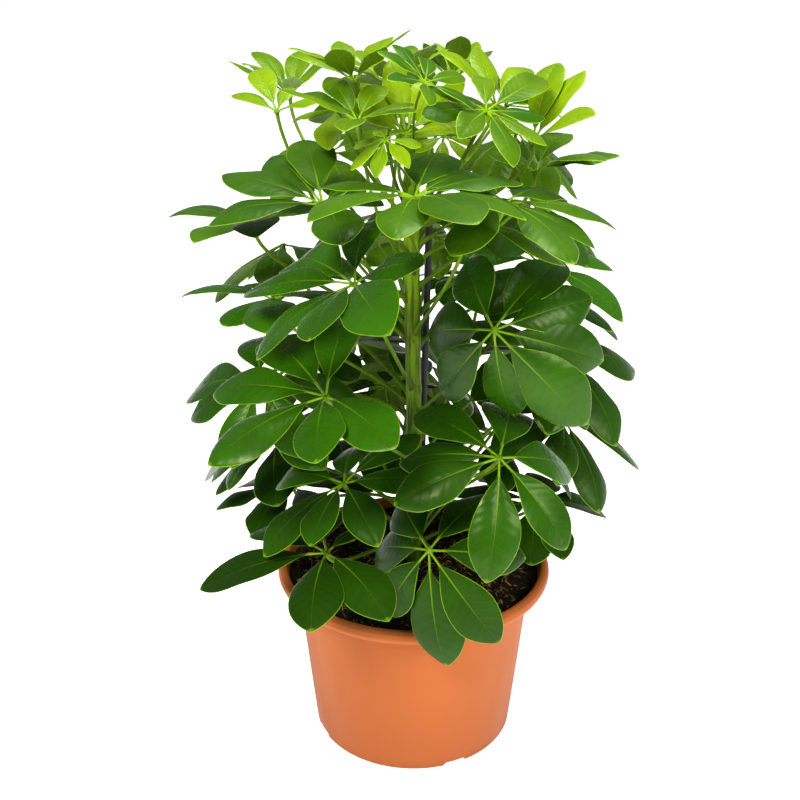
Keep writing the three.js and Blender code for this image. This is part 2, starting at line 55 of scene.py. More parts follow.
# Leaf form, as in the solids: millimetres, degrees and shares of a leaflet's or a stalk's length
STALK_SHARE = 0.14
WIDEST = 1.357
FULLNESS = 0.62
LIFT = 3
GAP = 0.3
GROWN_LENGTH = 60
LEAST_HUB = 0.62
PETIOLE_OUT = 0.252
PETIOLE_UP = 0.2415
PETIOLE_UNDER = 0.22

# Trunk and cane, as in the solids
STEM_RADIUS = 5.6
NODE_SWELL = 0.5
NODE_SPREAD = 5
TIP_START = 438
TIP_TAPER = 0.3
STEM_TIP = 447
STEM_NODES = (249, 283, 322, 354, 390, 424)
STEM_AXIS = ((0, 0, 60), (0.3, 0, 234), (-2.4, 0, 375), (-3, 0, 440))
CANE_FOOT = (2.7, 11, 60)
CANE_TOP = (10.9, 12, 450)
CANE_RADIUS = 2.5

# Kinds of leaf: record slot, bend along a leaflet, half its breadth as a share of its length
MATURE = ("leaf_mature", 34, 0.215)
UPPER = ("leaf_upper", 30, 0.215)
CROWN = ("leaf_crown", 22, 0.18)
YOUNG = ("leaf_young", 20, 0.2)

# One row a leaf, from the lowest joint on the trunk to the highest: kind, height of the joint, how far round
# from the hub's side the stalk leaves the trunk, place of the hub, azimuth and tilt that the leaf faces,
# droop, then each leaflet's direction and its length.
LEAVES = (
    (MATURE, 150, 5, (-17, 111, 187), 56, 21, 17,
     (-158, -107, -56, -5, 46, 97, 148), (80, 80, 81, 81, 78, 80, 80)),
    (MATURE, 151, -3, (-62, -78, 191), 194, 9, 2,
     (-148, -95, -51, -6, 71, 107), (40, 92, 76, 94, 89, 88)),
    (MATURE, 154, -12, (94, 19, 178), 356, 13, 8,
     (-139, -92, -69, 30, 78, 125, 173), (69, 74, 66, 76, 72, 72, 66)),
    (MATURE, 155, 27, (6, 109, 262), 61, 43, 28,
     (-160, -109, -58, -7, 44, 95, 146), (86, 84, 79, 75, 84, 83, 75)),
    (MATURE, 157, -1, (9, -108, 211), 243, 48, 38,
     (-127, -90, -35, 11, 50, 109, 168), (85, 84, 70, 91, 80, 73, 78)),
    (MATURE, 158, -14, (69, 87, 203), 27, 23, 12,
     (-166, -115, -64, -13, 38, 89, 140), (77, 81, 82, 80, 80, 82, 78)),
    (MATURE, 161, 1, (-106, 17, 241), 180, 28, 10,
     (-150, -104, -59, -14, 53, 120, 165), (73, 68, 81, 81, 63, 72, 74)),
    (MATURE, 166, -9, (104, 93, 272), 28, 26, 18,
     (-132, -81, -30, 21, 72, 123, 174), (75, 78, 78, 74, 72, 70, 74)),
    (MATURE, 167, -3, (-50, -57, 235), 197, 21, 7,
     (-163, -111, -58, 9, 50, 92, 144), (71, 66, 76, 76, 63, 66, 63)),
    (MATURE, 169, -16, (-109, 73, 207), 179, 23, 9,
     (-168, -114, -63, -12, 39, 90, 141), (43, 75, 75, 80, 71, 87, 72)),
    (MATURE, 177, -12, (114, 31, 245), 346, 23, 18,
     (-177, -124, -78, -46, 23, 76, 130), (68, 73, 67, 80, 84, 71, 36)),
    (MATURE, 179, -2, (-74, 82, 281), 149, 28, 18,
     (-166, -115, -64, -13, 38, 89, 140), (79, 78, 78, 78, 78, 77, 77)),
    (MATURE, 183, 19, (-97, 63, 168), 138, 11, 4,
     (-153, -102, -52, -2, 52, 107, 157), (69, 71, 72, 76, 66, 71, 73)),
    (MATURE, 195, 2, (55, -99, 276), 297, 32, 25,
     (-159, -124, -90, -23, 25, 88, 141), (77, 69, 76, 81, 77, 83, 89)),
    (MATURE, 202, -11, (105, 6, 309), 323, 24, 14,
     (-153, -104, -56, -8, 63, 111, 159), (79, 79, 79, 80, 85, 71, 37)),
    (MATURE, 208, 53, (-58, -105, 323), 222, 20, -4,
     (-146, -106, -59, -11, 47, 81), (81, 92, 83, 89, 78, 83)),
    (MATURE, 224, -2, (-21, 104, 313), 75, 30, 33,
     (-137, -86, -35, 16, 67, 118, 169), (75, 79, 79, 82, 81, 78, 84)),
    (MATURE, 226, -1, (100, 61, 335), 37, 14, 17,
     (-168, -116, -65, -13, 38, 89, 141), (76, 70, 60, 79, 74, 65, 31)),
    (MATURE, 239, 22, (-21, 64, 257), 234, 6, 17,
     (-147, -87, -27, 93, 153), (52, 56, 57, 51, 52)),
    (MATURE, 241, -29, (52, 88, 340), 82, 14, 8,
     (-145, -91, -40, 11, 62, 113, 164), (81, 71, 78, 78, 68, 76, 79)),
    (MATURE, 260, -24, (-110, -10, 294), 245, 33, 23,
     (-146, -91, -63, -8, 48, 103, 159), (72, 91, 69, 68, 68, 71, 70)),
    (MATURE, 265, 1, (50, -83, 360), 247, 64, 39,
     (-139, -88, -42, 7, 52, 87, 124, 162), (81, 95, 79, 72, 96, 84, 76, 84)),
    (MATURE, 272, -18, (-99, -14, 357), 140, 8, -2,
     (-178, -130, -82, -34, 14, 103, 134), (67, 34, 70, 62, 77, 59, 83)),
    (UPPER, 280, 1, (-97, 54, 376), 119, 19, 28,
     (-166, -115, -64, -13, 38, 89, 143), (78, 70, 66, 73, 73, 37, 66)),
    (MATURE, 287, 0, (-38, -119, 403), 196, 30, -6,
     (-124, -77, -43, 11, 55, 88, 132), (70, 92, 84, 77, 74, 88, 61)),
    (UPPER, 315, 9, (17, 64, 378), 326, 12, 12,
     (-174, -114, -54, 6, 66, 126), (56, 64, 50, 45, 49, 51)),
    (MATURE, 317, 14, (88, 12, 375), 314, 17, 5,
     (-129, -76, -45, 17, 71, 124, 177), (67, 74, 74, 73, 67, 62, 66)),
    (UPPER, 323, -7, (-111, -5, 407), 103, 9, -5,
     (-69, -11, 47, 139, 175), (76, 66, 75, 66, 75)),
    (UPPER, 329, -4, (33, -71, 429), 265, 11, 27,
     (-155, 100), (73, 75)),
    (UPPER, 332, 23, (-63, 58, 442), 209, 18, 7,
     (-180, -129, -78, -27, 24, 75, 126), (58, 65, 63, 59, 68, 74, 53)),
    (UPPER, 333, 2, (-16, 118, 385), 99, 25, 21,
     (-144, -93, -42, 9, 60, 111, 165), (78, 73, 73, 71, 80, 79, 68)),
    (UPPER, 341, -25, (86, 71, 403), 14, 16, 20,
     (-170, -119, -65, -14, 37, 88, 139), (72, 78, 76, 70, 67, 69, 73)),
    (CROWN, 342, 6, (-92, -5, 485), 258, 18, -8,
     (-149, -115, 108, 178), (53, 40, 38, 33)),
    (UPPER, 346, 29, (-9, 110, 460), 83, 46, 2,
     (-161, -110, -59, -8, 43, 94, 145), (67, 71, 62, 69, 72, 71, 69)),
    (UPPER, 353, -13, (-59, -73, 440), 239, 15, -7,
     (-141, -121, -86, -54, 46, 104, 161), (75, 81, 75, 74, 74, 41, 29)),
    (CROWN, 355, 1, (-95, 134, 470), 145, 0, -33,
     (-114, -62, -16, 32, 82, 134), (46, 56, 58, 54, 56, 44)),
    (UPPER, 362, -2, (79, -20, 448), 164, 7, -12,
     (-101, -41, 141, 174), (61, 51, 71, 59)),
    (CROWN, 374, 39, (-36, -85, 494), 293, 6, -17,
     (-176, -146, -115, -29, 23, 98, 140), (50, 49, 52, 50, 50, 40, 47)),
    (UPPER, 380, 22, (53, -98, 448), 312, 7, 8,
     (-132, -72, -12, 16, 47, 108, 168), (67, 67, 76, 64, 72, 86, 67)),
    (CROWN, 381, -9, (-39, -40, 510), 155, 8, -32,
     (-152, -101, -50, 1, 52, 103, 154), (48, 52, 43, 49, 51, 51, 43)),
    (UPPER, 385, 30, (74, 69, 457), 63, 8, 40,
     (-132, -81, -30, 21, 72, 123, 177), (76, 68, 72, 72, 60, 71, 69)),
    (UPPER, 386, -27, (-2, -125, 458), 257, 2, -3,
     (-180, -107, -38, 3, 38, 80, 117, 154), (82, 66, 77, 69, 84, 69, 67, 72)),
    (CROWN, 392, 2, (75, -34, 470), 219, 25, -24,
     (-160, -95, 102, 175), (65, 57, 62, 61)),
    (CROWN, 412, 17, (42, -72, 498), 313, 28, -5,
     (-129, -97, -65, -22, 11, 66, 99, 144), (40, 51, 48, 53, 46, 42, 64, 43)),
    (CROWN, 413, -9, (63, 32, 482), 22, 33, -22,
     (-175, -124, -73, -22, 29, 80, 131), (46, 42, 44, 44, 42, 43, 49)),
    (CROWN, 413, 8, (-52, 4, 484), 184, 18, 4,
     (-137, -88, -39, 76, 125, 174), (39, 44, 44, 56, 44, 43)),
    (CROWN, 420, 10, (-18, 19, 497), 117, 7, -30,
     (-156, -105, -54, -3, 48, 99, 150), (52, 48, 51, 54, 45, 42, 42)),
    (CROWN, 421, -1, (51, -33, 493), 333, 16, -26,
     (-174, 96, 141), (54, 55, 53)),
    (CROWN, 422, 6, (4, -91, 518), 332, 33, -7,
     (-150, -104, -60, 30, 75, 120, 165), (34, 35, 35, 35, 35, 35, 35)),
    (CROWN, 428, -3, (27, 85, 489), 62, 11, -40,
     (-148, -97, -46, 5, 56, 107, 158), (52, 41, 40, 52, 40, 40, 40)),
    (CROWN, 431, -35, (-7, -39, 476), 286, 35, -26,
     (-176, -142, -108, 82, 116, 150), (52, 44, 46, 42, 52, 46)),
    (YOUNG, 436, -6, (-19, -105, 488), 245, 22, 18,
     (-141, -93, -34, 6, 55, 113, 171), (22, 25, 27, 26, 25, 22, 25)),
    (YOUNG, 437, -8, (19, -3, 468), 290, 26, 11,
     (-179, -125, -74, -23, 28, 79, 130), (24, 24, 24, 24, 24, 24, 24)),
)

# How finely the surfaces are laid out: places of a leaflet's rings as shares of its blade and of its stalk,
# places across half a blade, then numbers of rings and of corners round them
BLADE_SHARES = (0, 0.03, 0.07, 0.12, 0.18, 0.25, 0.32, 0.4, 0.48, 0.56, 0.64, 0.71, 0.78, 0.84, 0.89,
                0.93, 0.96, 0.98, 0.993, 1)
STALK_SHARES = (0.0, 0.35, 0.7)
HALF_ACROSS = (0.07, 0.24, 0.46, 0.68, 0.86, 0.96, 1)
PETIOLE_ROWS = 26
PETIOLE_SIDES = 14
HUB_ROWS = 9
HUB_SIDES = 16
TRUNK_ROWS = 320
TRUNK_SIDES = 72
CANE_ROWS = 120
CANE_SIDES = 32
POT_COLUMNS = 384
SOIL_ROWS = 100
SOIL_COLUMNS = 288

# What makes each leaflet its own, where a pair is the range that it draws from: curl, swerve and notch of the
# tip as shares of the length, waver of the edges, lean, fold and sag as shares of the half breadth, the twist
# in radians and the margin's wave in millimetres
CURL = 0.10
CURLED = (-0.1, 1.0)
SWERVE = 0.035
TIP_NOTCH = 0.035
NOTCHED = (-0.5, 1.0)
WAVER = 0.025
LEAN = 0.05
FOLD = (-0.02, 0.22)
SAG = (0.06, 0.34)
TWIST = 0.24
WAVE = (0.3, 1.3)

# Small forms of a full-grown leaf, in millimetres: half sizes of a leaflet's stalk and of the hub, depths of
# the midrib's groove on top and of the rib underneath, how far both spread, the leaf stalk's radius, and how
# much it swells at its foot and top; then how much taller than broad its foot is, and how much the blade's
# ends are drawn in
STALK_HALF = (0.8, 0.7)
HUB_HALF = (2.5, 1.1)
GROOVE_DEPTH = 0.28
RIB_DEPTH = 0.55
RIB_BREADTH = 0.9
PETIOLE_RADIUS = 1.28
FOOT_SWELL = 1.0
TOP_SWELL = 0.25
FOOT_TALLER = 0.5
END_TAPER = 0.13

# Tones: the range that a leaf draws from, how far its leaflets stand off it, and the share of it that is left
# in the shade of the rest, from which it rises to the whole between two heights of the hub
TONES = (0.12, 0.88)
TONE_SPREAD = 0.18
SHADE_TONE = 0.3
SHADE_HEIGHTS = (213, 236)

# Trunk's skin, in millimetres: how high its ribs, its finer ribs and its leaf scars stand, how far a scar
# spreads along it, and the height below which the soil hides it; then how many finer ribs it has
RIB_HEIGHT = 0.13
FINE_RIB_HEIGHT = 0.07
SCAR_HEIGHT = 0.35
SCAR_SPREAD = 1.1
HIDDEN_BELOW = 130
FINE_RIBS = 17

# Blade finishes, one for the lowest leaves, which the rest shade, and one for each record slot: the setting
# that the deep colour comes from and its factor, the same for the bright colour, the stalk colour's factor,
# what is added to the roughness, and how strongly the blade mirrors
BLADE_LOOKS = {
    "shaded": ("mature", 0.52, "mature", 1.62, 1.1, 0.04, 0.12),
    "leaf_mature": ("mature", 0.52, "mature", 1.62, 1.1, -0.02, 0.23),
    "leaf_upper": ("mature", 0.9, "upper", 1.25, 1.25, 0.0, 0.26),
    "leaf_crown": ("mature", 1.1, "crown", 1.18, 1.3, 0.02, 0.18),
    "leaf_young": ("upper", 1.0, "young", 1.05, 1.6, 0.06, 0.2),
}

# Pot, as in the solids: millimetres
BASE_RADIUS = 77.8
FOOT_HEIGHT = 3
FOOT_RING = 3.5
FLOOR_TOP = 5
COLLAR_FOOT = (90.2, 126)
COLLAR = (COLLAR_FOOT, (93, 129.5), (99, 131), (103.5, 131.3), (105, 135), (104, 138.5), (101.5, 140.5),
          (99, 140.7), (97.5, 139), (96.2, 132), (88.4, 126))
PAD_EDGE = ((0.5, 0), (25, 0), (26, 0.3), (27.2, 2.7), (28.4, FOOT_HEIGHT))
NOTCH_AZIMUTH = -66
NOTCH_WIDTH = 17
NOTCHES = 4
DRAIN_RADIUS = 5.5
DRAIN_PLACE = 60

# Soil: its edge, its wall as (radius, height), its dome as radii and heights, and the size and height of its
# crumbs, in millimetres; then how many corners the lattice of their noise has to a side
SOIL_RADIUS = 96.0
SOIL_WALL = ((1, 5.3), (40, 5.3), (75.9, 5.3), (79, 40), (83.5, 85), (87.8, 126), (95.6, 132))
SOIL_DOME = ((0, 26, 54, 78, SOIL_RADIUS), (136, 136, 135.4, 134.3, 133))
CRUMBS = ((9.0, 1.3), (4.1, 1.1), (2.0, 0.8))
LATTICE = 64

# What lies on the soil. A chip: ranges of its three half sizes, its scales and how common each is, how far
# its corners stand off as a share, and how far it rolls in radians. A fibre: ranges of its length, radius and
# rise, and its sideways bow as a share of its length. Then the seed that both draw from, and the place and
# radius of a thin root
CHIP_SIZES = ((1.0, 4.2), (0.28, 0.8), (0.25, 0.6))
CHIP_SCALES = (0.6, 1, 1.3)
CHIP_SHARES = (0.45, 0.4, 0.15)
CHIP_ROUGHNESS = 0.28
CHIP_ROLL = 0.75
FIBRE_LENGTH = (2.5, 11)
FIBRE_RADIUS = (0.14, 0.34)
FIBRE_RISE = (0.2, 2.2)
FIBRE_BOW = 0.3
LITTER_SEED = 900
ROOT_PLACE = (47, 6)
ROOT_RADIUS = 0.75

# The photograph's eye point: place in millimetres, downward pitch in degrees and lens on its sensor
EYE = (-10.5, -840.0, 644.7)
PITCH = 23.8
LENS = 56.34
SENSOR = 36

# Studio lights: name, place and size in metres, share of the key light's power; then the point they face, and
# how far the floor reaches to each side, in millimetres
STUDIO_LIGHTS = (
    ("key_light", (-0.7, -1.4, 1.9), (0.8, 0.6), 1.0),
    ("fill_light", (1.5, -1.2, 1.3), (0.8, 0.8), 0.45),
    ("top_light", (0.25, 0.2, 2.1), (1.0, 0.7), 0.6),
)
LIT_POINT = (0, 0, 0.3)
FLOOR_REACH = 8000


def colour_setting(name, description, default):
    """A colour that the user may change."""
    return FloatVectorProperty(name=name, description=description, subtype="COLOR", min=0, max=1,
                               default=default)


class LeafSettings(bpy.types.PropertyGroup):
    """Colours and finish of the leaves."""
    mature: colour_setting("Mature", "Colour of a full-grown blade", (0.018, 0.074, 0.0012))
    upper: colour_setting("Upper", "Colour of the blades below the crown", (0.069, 0.158, 0.002))
    crown: colour_setting("Crown", "Colour of the bright blades on top", (0.165, 0.265, 0.001))
    young: colour_setting("Young", "Colour of the newest blades", (0.230, 0.360, 0.003))
    stalk: colour_setting("Stalk", "Colour of stalks and leaf stalks", (0.150, 0.285, 0.003))
    thickness: FloatProperty(name="Blade thickness", description="Thickness of a blade", subtype="DISTANCE",
                             default=0.6 * MM, min=0.1 * MM)
    gloss: FloatProperty(name="Roughness", description="Roughness of a blade's upper face", min=0, max=1,
                         default=0.28)


class TrunkSettings(bpy.types.PropertyGroup):
    """Trunk and cane."""
    bark: colour_setting("Bark", "Colour of the trunk", (0.150, 0.265, 0.003))
    cane: colour_setting("Cane", "Colour of the support cane", (0.008, 0.010, 0.009))
    ribs: IntProperty(name="Ribs", description="Shallow ribs round the trunk", default=7, min=0)


class PotSettings(bpy.types.PropertyGroup):
    """Pot and potting soil."""
    clay: colour_setting("Plastic", "Colour of the pot", (0.380, 0.100, 0.026))
    soil: colour_setting("Soil", "Colour of the potting soil", (0.007, 0.0042, 0.0025))
    fibres: IntProperty(name="Fibres", description="Loose fibres on the soil", default=520, min=0)
    chips: IntProperty(name="Chips", description="Bark chips on the soil", default=1700, min=0)


class StageSettings(bpy.types.PropertyGroup):
    """Floor, light and camera."""
    floor: colour_setting("Floor", "Colour of the floor", (0.9, 0.9, 0.9))
    key: FloatProperty(name="Key light", description="Power of the large light above the plant",
                       subtype="POWER", default=58.0, min=0)
    world: FloatProperty(name="Surroundings", description="Strength of the even light all round",
                         default=0.20, min=0)
    backdrop: FloatProperty(name="Backdrop", description="How bright the surroundings look past the floor",
                            default=0.96, min=0)


def alike(count, value):
    return np.full(count, value)


def circle(sides):
    """Angles spread evenly over a whole turn."""
    return np.linspace(0, 2 * np.pi, sides, endpoint=False)


def unit(vectors):
    return vectors / np.linalg.norm(vectors, axis=-1, keepdims=True)


def ring_quads(rows, sides):
    """Faces between neighbouring rings, as corner numbers that run ring by ring."""
    near = np.arange(rows - 1)[:, None] * sides
    here = np.arange(sides)[None]
    there = (here + 1) % sides
    corners = [near + here, near + there, near + sides + there, near + sides + here]
    return np.stack(corners, -1).reshape(-1, 4)


def skin(rings):
    """Closes a grid of rings (rows, round, xyz) into points and faces: quads between the rings, and a fan to
    the middle of each end ring."""
    rows, sides = rings.shape[:2]
    points = np.vstack([rings.reshape(-1, 3), rings[0].mean(0), rings[-1].mean(0)])
    here = np.arange(sides)
    there = (here + 1) % sides
    last = (rows - 1) * sides
    fans = [np.stack([alike(sides, len(points) - 2), there, here], -1),
            np.stack([alike(sides, len(points) - 1), last + here, last + there], -1)]
    return points, ring_quads(rows, sides), np.vstack(fans)


def make_object(name, points, faces, materials=()):
    """An object at the origin, its points given in millimetres."""
    mesh = bpy.data.meshes.new(name)
    mesh.from_pydata((points * MM).tolist(), [], faces)
    for material in materials:
        mesh.materials.append(material)
    made = bpy.data.objects.new(name, mesh)
    bpy.context.scene.collection.objects.link(made)
    return made


def mark_points(mesh, name, values):
    """Gives each point of a mesh a value that materials can read."""
    layer = mesh.attributes.new(name, "FLOAT", "POINT")
    layer.data.foreach_set("value", values.astype(np.float32))


class Surface:
    """Gathers closed skins of one piece with their texture coordinates, tones and material numbers."""

    def __init__(self):
        self.points, self.faces, self.uvs, self.tones, self.halves, self.slots = [], [], [], [], [], []
        self.count = 0

    def add(self, rings, along, round_share, tone=0.5, slot=0, half=None):
        """Adds rings whose corners hold (share along, share round) as their texture coordinates."""
        points, quads, fans = skin(rings)
        rows, sides = rings.shape[:2]
        grid = np.stack(np.meshgrid(along, np.append(round_share, 1.0), indexing="ij"), -1)
        corners = [grid[:-1, :-1], grid[:-1, 1:], grid[1:, 1:], grid[1:, :-1]]
        self.uvs.append(np.stack(corners, 2).reshape(-1, 2))
        self.uvs.append(np.repeat(grid[[0, -1], :-1].reshape(-1, 2), 3, axis=0))
        self.faces += (quads + self.count).tolist() + (fans + self.count).tolist()
        self.slots += [slot] * (len(quads) + len(fans))
        self.points.append(points)
        self.tones.append(alike(len(points), tone))
        breadth = np.ones(rows) if half is None else half
        self.halves.append(np.append(np.repeat(breadth, sides), breadth[[0, -1]]))
        self.count += len(points)

    def build(self, name, materials, slot_name, *nodes):
        """Makes the object and ties it to the frame."""
        piece = make_object(name, np.vstack(self.points), self.faces, materials)
        mesh = piece.data
        layer = mesh.uv_layers.new(name="surface")
        layer.data.foreach_set("uv", np.vstack(self.uvs).astype(np.float32).ravel())
        mark_points(mesh, "tone", np.concatenate(self.tones))
        mark_points(mesh, "half", np.concatenate(self.halves))
        mesh.polygons.foreach_set("material_index", np.asarray(self.slots, np.int32))
        mesh.polygons.foreach_set("use_smooth", np.ones(len(self.faces), bool))
        mesh.update()
        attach(piece, "root")
        if nodes:
            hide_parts(*nodes)
        return piece


def one_skin(name, shape, material, slot_name, *nodes, tone=0.5):
    """A piece of one closed skin and one material."""
    surface = Surface()
    surface.add(*shape, tone)
    return surface.build(name, (material,), slot_name, *nodes)


def along_line(points, z):
    """Straight-line reading of a list of (x, y, z) points at heights z."""
    x, y, height = np.array(points, float).T
    z = np.asarray(z, float)
    return np.stack([np.interp(z, height, x), np.interp(z, height, y), z], -1)


def bezier(p0, p1, p2, p3, t):
    """Points and directions of a cubic curve at shares t."""
    t = t[:, None]
    points = (1 - t) ** 3 * p0 + 3 * (1 - t) ** 2 * t * p1 + 3 * (1 - t) * t ** 2 * p2 + t ** 3 * p3
    ways = (1 - t) ** 2 * (p1 - p0) + 2 * (1 - t) * t * (p2 - p1) + t ** 2 * (p3 - p2)
    return points, unit(ways)


def tube_rings(points, ways, sideways, radius, tall, sides):
    """Rings square to a curve, r (cos a across + tall sin a over), where across is the given sideways
    direction made square to the curve, and over is square to both."""
    across = unit(sideways - (ways @ sideways)[:, None] * ways)
    over = np.cross(ways, across)
    angle = circle(sides)
    wheel = (np.cos(angle)[None, :, None] * across[:, None]
             + (tall[:, None] * np.sin(angle))[..., None] * over[:, None])
    return points[:, None] + radius[:, None, None] * wheel, angle / (2 * np.pi)


def level_rings(centre, radius, angle):
    """Level rings round a line of centres, r (cos a, sin a), with their shares of the way up and round."""
    wheel = np.stack([np.cos(angle), np.sin(angle), 0 * angle], -1)
    z = centre[:, 2]
    return centre[:, None] + radius[..., None] * wheel, (z - z[0]) / (z[-1] - z[0]), angle / (2 * np.pi)


def turned_rings(r, z, angle):
    """A profile turned about the pot's axis: (r cos a, r sin a, z), with its shares of the way along and
    round."""
    rings = np.stack([r * np.cos(angle), r * np.sin(angle), z], -1)
    return rings, np.linspace(0, 1, len(r)), angle / (2 * np.pi)


def stem_radius(z):
    """Trunk radius: 5.6 mm, plus a swelling that fades within 5 mm of each joint, less a taper at the tip."""
    z = np.asarray(z, float)
    away = np.abs(z[..., None] - np.array(STEM_NODES, float))
    swell = np.clip(1 - away / NODE_SPREAD, 0, 1).max(-1)
    return STEM_RADIUS + NODE_SWELL * swell - np.clip(z - TIP_START, 0, None) * TIP_TAPER


def leaf_frame(azimuth, tilt):
    """The leaf plane's normal, its downhill direction and the direction across it."""
    a, t = np.radians([azimuth, tilt])
    outward = np.array([np.cos(a), np.sin(a), 0])
    up = np.array([0, 0, 1.0])
    normal = outward * np.sin(t) + up * np.cos(t)
    downhill = outward * np.cos(t) - up * np.sin(t)
    return normal, downhill, np.cross(normal, downhill)


def blade_breadth(share):
    """Half the breadth as a share of its greatest: sin(pi share^1.357)^p. There p is 0.62 at mid-length and
    rises by the square of the way to either end, which draws the base to a wedge and the tip to a blunt
    point."""
    power = FULLNESS + END_TAPER * (2 * share - 1) ** 2
    return np.clip(np.sin(np.pi * share ** WIDEST), 0, None) ** power


def leaflet_line(hub, leaf, bend, turn, length, droop, way, share, draw):
    """A leaflet's middle line, with the directions across it, up from it and on along it. It arches:
    slope(s) = droop - bend/2 + bend s, so with the slope in radians the way ahead is
    L (sin slope - sin start) / bend and the way down L (cos start - cos slope) / bend. On its way to the tip
    the blade may curl further or a little back, swerve to a side and turn about its own midrib."""
    normal, downhill, across = leaf
    along = np.cos(turn) * downhill + np.sin(turn) * across
    sideways = np.cross(normal, along)
    start = np.radians(droop) - bend / 2
    slope = start + bend * way
    ahead = length * (np.sin(slope) - np.sin(start)) / bend
    down = length * (np.cos(start) - np.cos(slope)) / bend
    down += draw.uniform(*CURLED) * CURL * length * np.clip((share - 0.55) / 0.45, 0, 1) ** 2
    swerve = draw.uniform(-1, 1) * SWERVE * length * share ** 2
    middle = hub + ahead[:, None] * along - down[:, None] * normal + swerve[:, None] * sideways
    up = np.sin(slope)[:, None] * along + np.cos(slope)[:, None] * normal
    forward = np.cos(slope)[:, None] * along - np.sin(slope)[:, None] * normal
    twist = draw.uniform(-1, 1) * TWIST * share[:, None]
    return (middle, np.cos(twist) * sideways + np.sin(twist) * up,
            np.cos(twist) * up - np.sin(twist) * sideways, forward)


def leaflet_outline(breadth, length, share, x, small, draw):
    """Half the breadth of each ring, nowhere less than the stalk's, and how far each corner stands off the
    middle line. The edges waver, each in its own way, and one side is a little broader."""
    waver = 1 + WAVER * np.sin(share[:, None] * draw.uniform(9, 15) + draw.uniform(0, 6.3) + 1.7 * np.sign(x))
    lean = 1 + draw.uniform(-LEAN, LEAN) * np.sign(x)
    half = breadth * length * blade_breadth(share)
    stalk_half = STALK_HALF[0] * small
    least = stalk_half * np.where(share > 0.9, np.maximum(half / stalk_half, 0.02), 1)
    half = np.where(half > stalk_half, half, least)
    return half, half[:, None] * x * np.where(share[:, None] > 0.02, waver * lean, 1)


def leaflet_relief(half, length, share, x, side, blade_part, small, draw):
    """How far each corner stands off the blade's plane: half a breadth times (fold |x| - sag x^2), a margin
    that waves most at mid-length, and along the midrib a groove on top and a rib underneath."""
    fold = draw.uniform(*FOLD)
    sag = draw.uniform(*SAG)
    wave = draw.uniform(*WAVE) * np.minimum(1, length / GROWN_LENGTH)
    margin = np.sin(share[:, None] * draw.uniform(7, 13) + draw.uniform(0, 6.3) + 2.2 * np.sign(x))
    rise = np.clip(np.sin(np.pi * share), 0, 1)[:, None] ** 0.7
    form = half[:, None] * (fold * np.abs(x) - sag * x ** 2) + wave * margin * np.abs(x) ** 2.2 * rise
    near = np.exp(-((x * half[:, None]) / RIB_BREADTH) ** 2) * blade_part[:, None]
    return form - np.where(side > 0, GROOVE_DEPTH, RIB_DEPTH) * near * (1 - 0.75 * share[:, None]) * small


def leaflet_rings(hub, leaf, kind, turn, length, droop, small, draw):
    """One leaflet as rings from its stalk to its tip. A ring's corners have places x from -1 to 1 across the
    top face (side 1) and back underneath (side -1), half a thickness sqrt(1 - x^2) off the middle."""
    right = np.array((0,) + HALF_ACROSS)
    top = np.concatenate([-right[:0:-1], right])
    x = np.concatenate([top, top[-2:0:-1]])
    side = np.concatenate([np.ones(len(top)), -np.ones(len(top) - 2)])
    blade = STALK_SHARE + (1 - STALK_SHARE) * np.array(BLADE_SHARES)
    way = np.concatenate([np.array(STALK_SHARES) * STALK_SHARE, blade])
    share = np.clip((way - STALK_SHARE) / (1 - STALK_SHARE), 0, 1)
    middle, sideways, up, forward = leaflet_line(hub, leaf, np.radians(kind[1]), turn, length, droop, way,
                                                 share, draw)
    half, offset = leaflet_outline(kind[2], length, share, x, small, draw)
    thickness = bpy.context.scene.plant_leaf.thickness / MM
    blade_part = np.clip(share / 0.08, 0, 1)
    thick = (1 - blade_part) * STALK_HALF[1] * small + blade_part * thickness / 2
    end = np.clip((1 - share) / 0.03, 0.15, 1)
    lift = side * (thick * end)[:, None] * np.sqrt(np.clip(1 - x ** 2, 0, 1))
    lift += leaflet_relief(half, length, share, x, side, blade_part, small, draw)
    # some tips are notched: the middle of the end is drawn back
    notch = max(0.0, draw.uniform(*NOTCHED)) * TIP_NOTCH * length
    back = notch * np.exp(-(x / 0.35) ** 2) * np.clip((share - 0.86) / 0.14, 0, 1)[:, None] ** 2
    rings = (middle[:, None] + offset[..., None] * sideways[:, None] + lift[..., None] * up[:, None]
             - back[..., None] * forward[:, None])
    return rings, way, np.where(side > 0, (x + 1) / 4, (3 - x) / 4), half


def petiole_rings(height, swing, hub, normal, small):
    """The leaf stalk as rings: a cubic from the trunk's surface to the hub, round in section, swollen at the
    foot like a small sheath, taller than broad there, and a little thicker again under the hub."""
    centre = along_line(STEM_AXIS, height)
    turn = np.arctan2(hub[1] - centre[1], hub[0] - centre[0]) + np.radians(swing)
    flat = np.array([np.cos(turn), np.sin(turn), 0])
    reach = stem_radius([height - 2, height, height + 2]).max() + GAP
    foot = centre + reach * flat
    span = np.linalg.norm(hub - foot)
    up = np.array([0, 0, 1.0])
    t = np.linspace(0, 1, PETIOLE_ROWS) ** 1.25
    points, ways = bezier(foot - 1.6 * flat, foot + PETIOLE_OUT * span * flat + PETIOLE_UP * span * up,
                          hub - PETIOLE_UNDER * span * normal, hub - 0.4 * small * normal, t)
    swell = FOOT_SWELL * np.exp(-t * span / 5) + TOP_SWELL * np.exp(-(1 - t) * span / 4)
    radius = (PETIOLE_RADIUS + swell) * small
    tall = 1 + FOOT_TALLER * np.exp(-t * span / 6)
    rings, around = tube_rings(points, ways, np.cross(up, flat), radius, tall, PETIOLE_SIDES)
    return rings, t, around


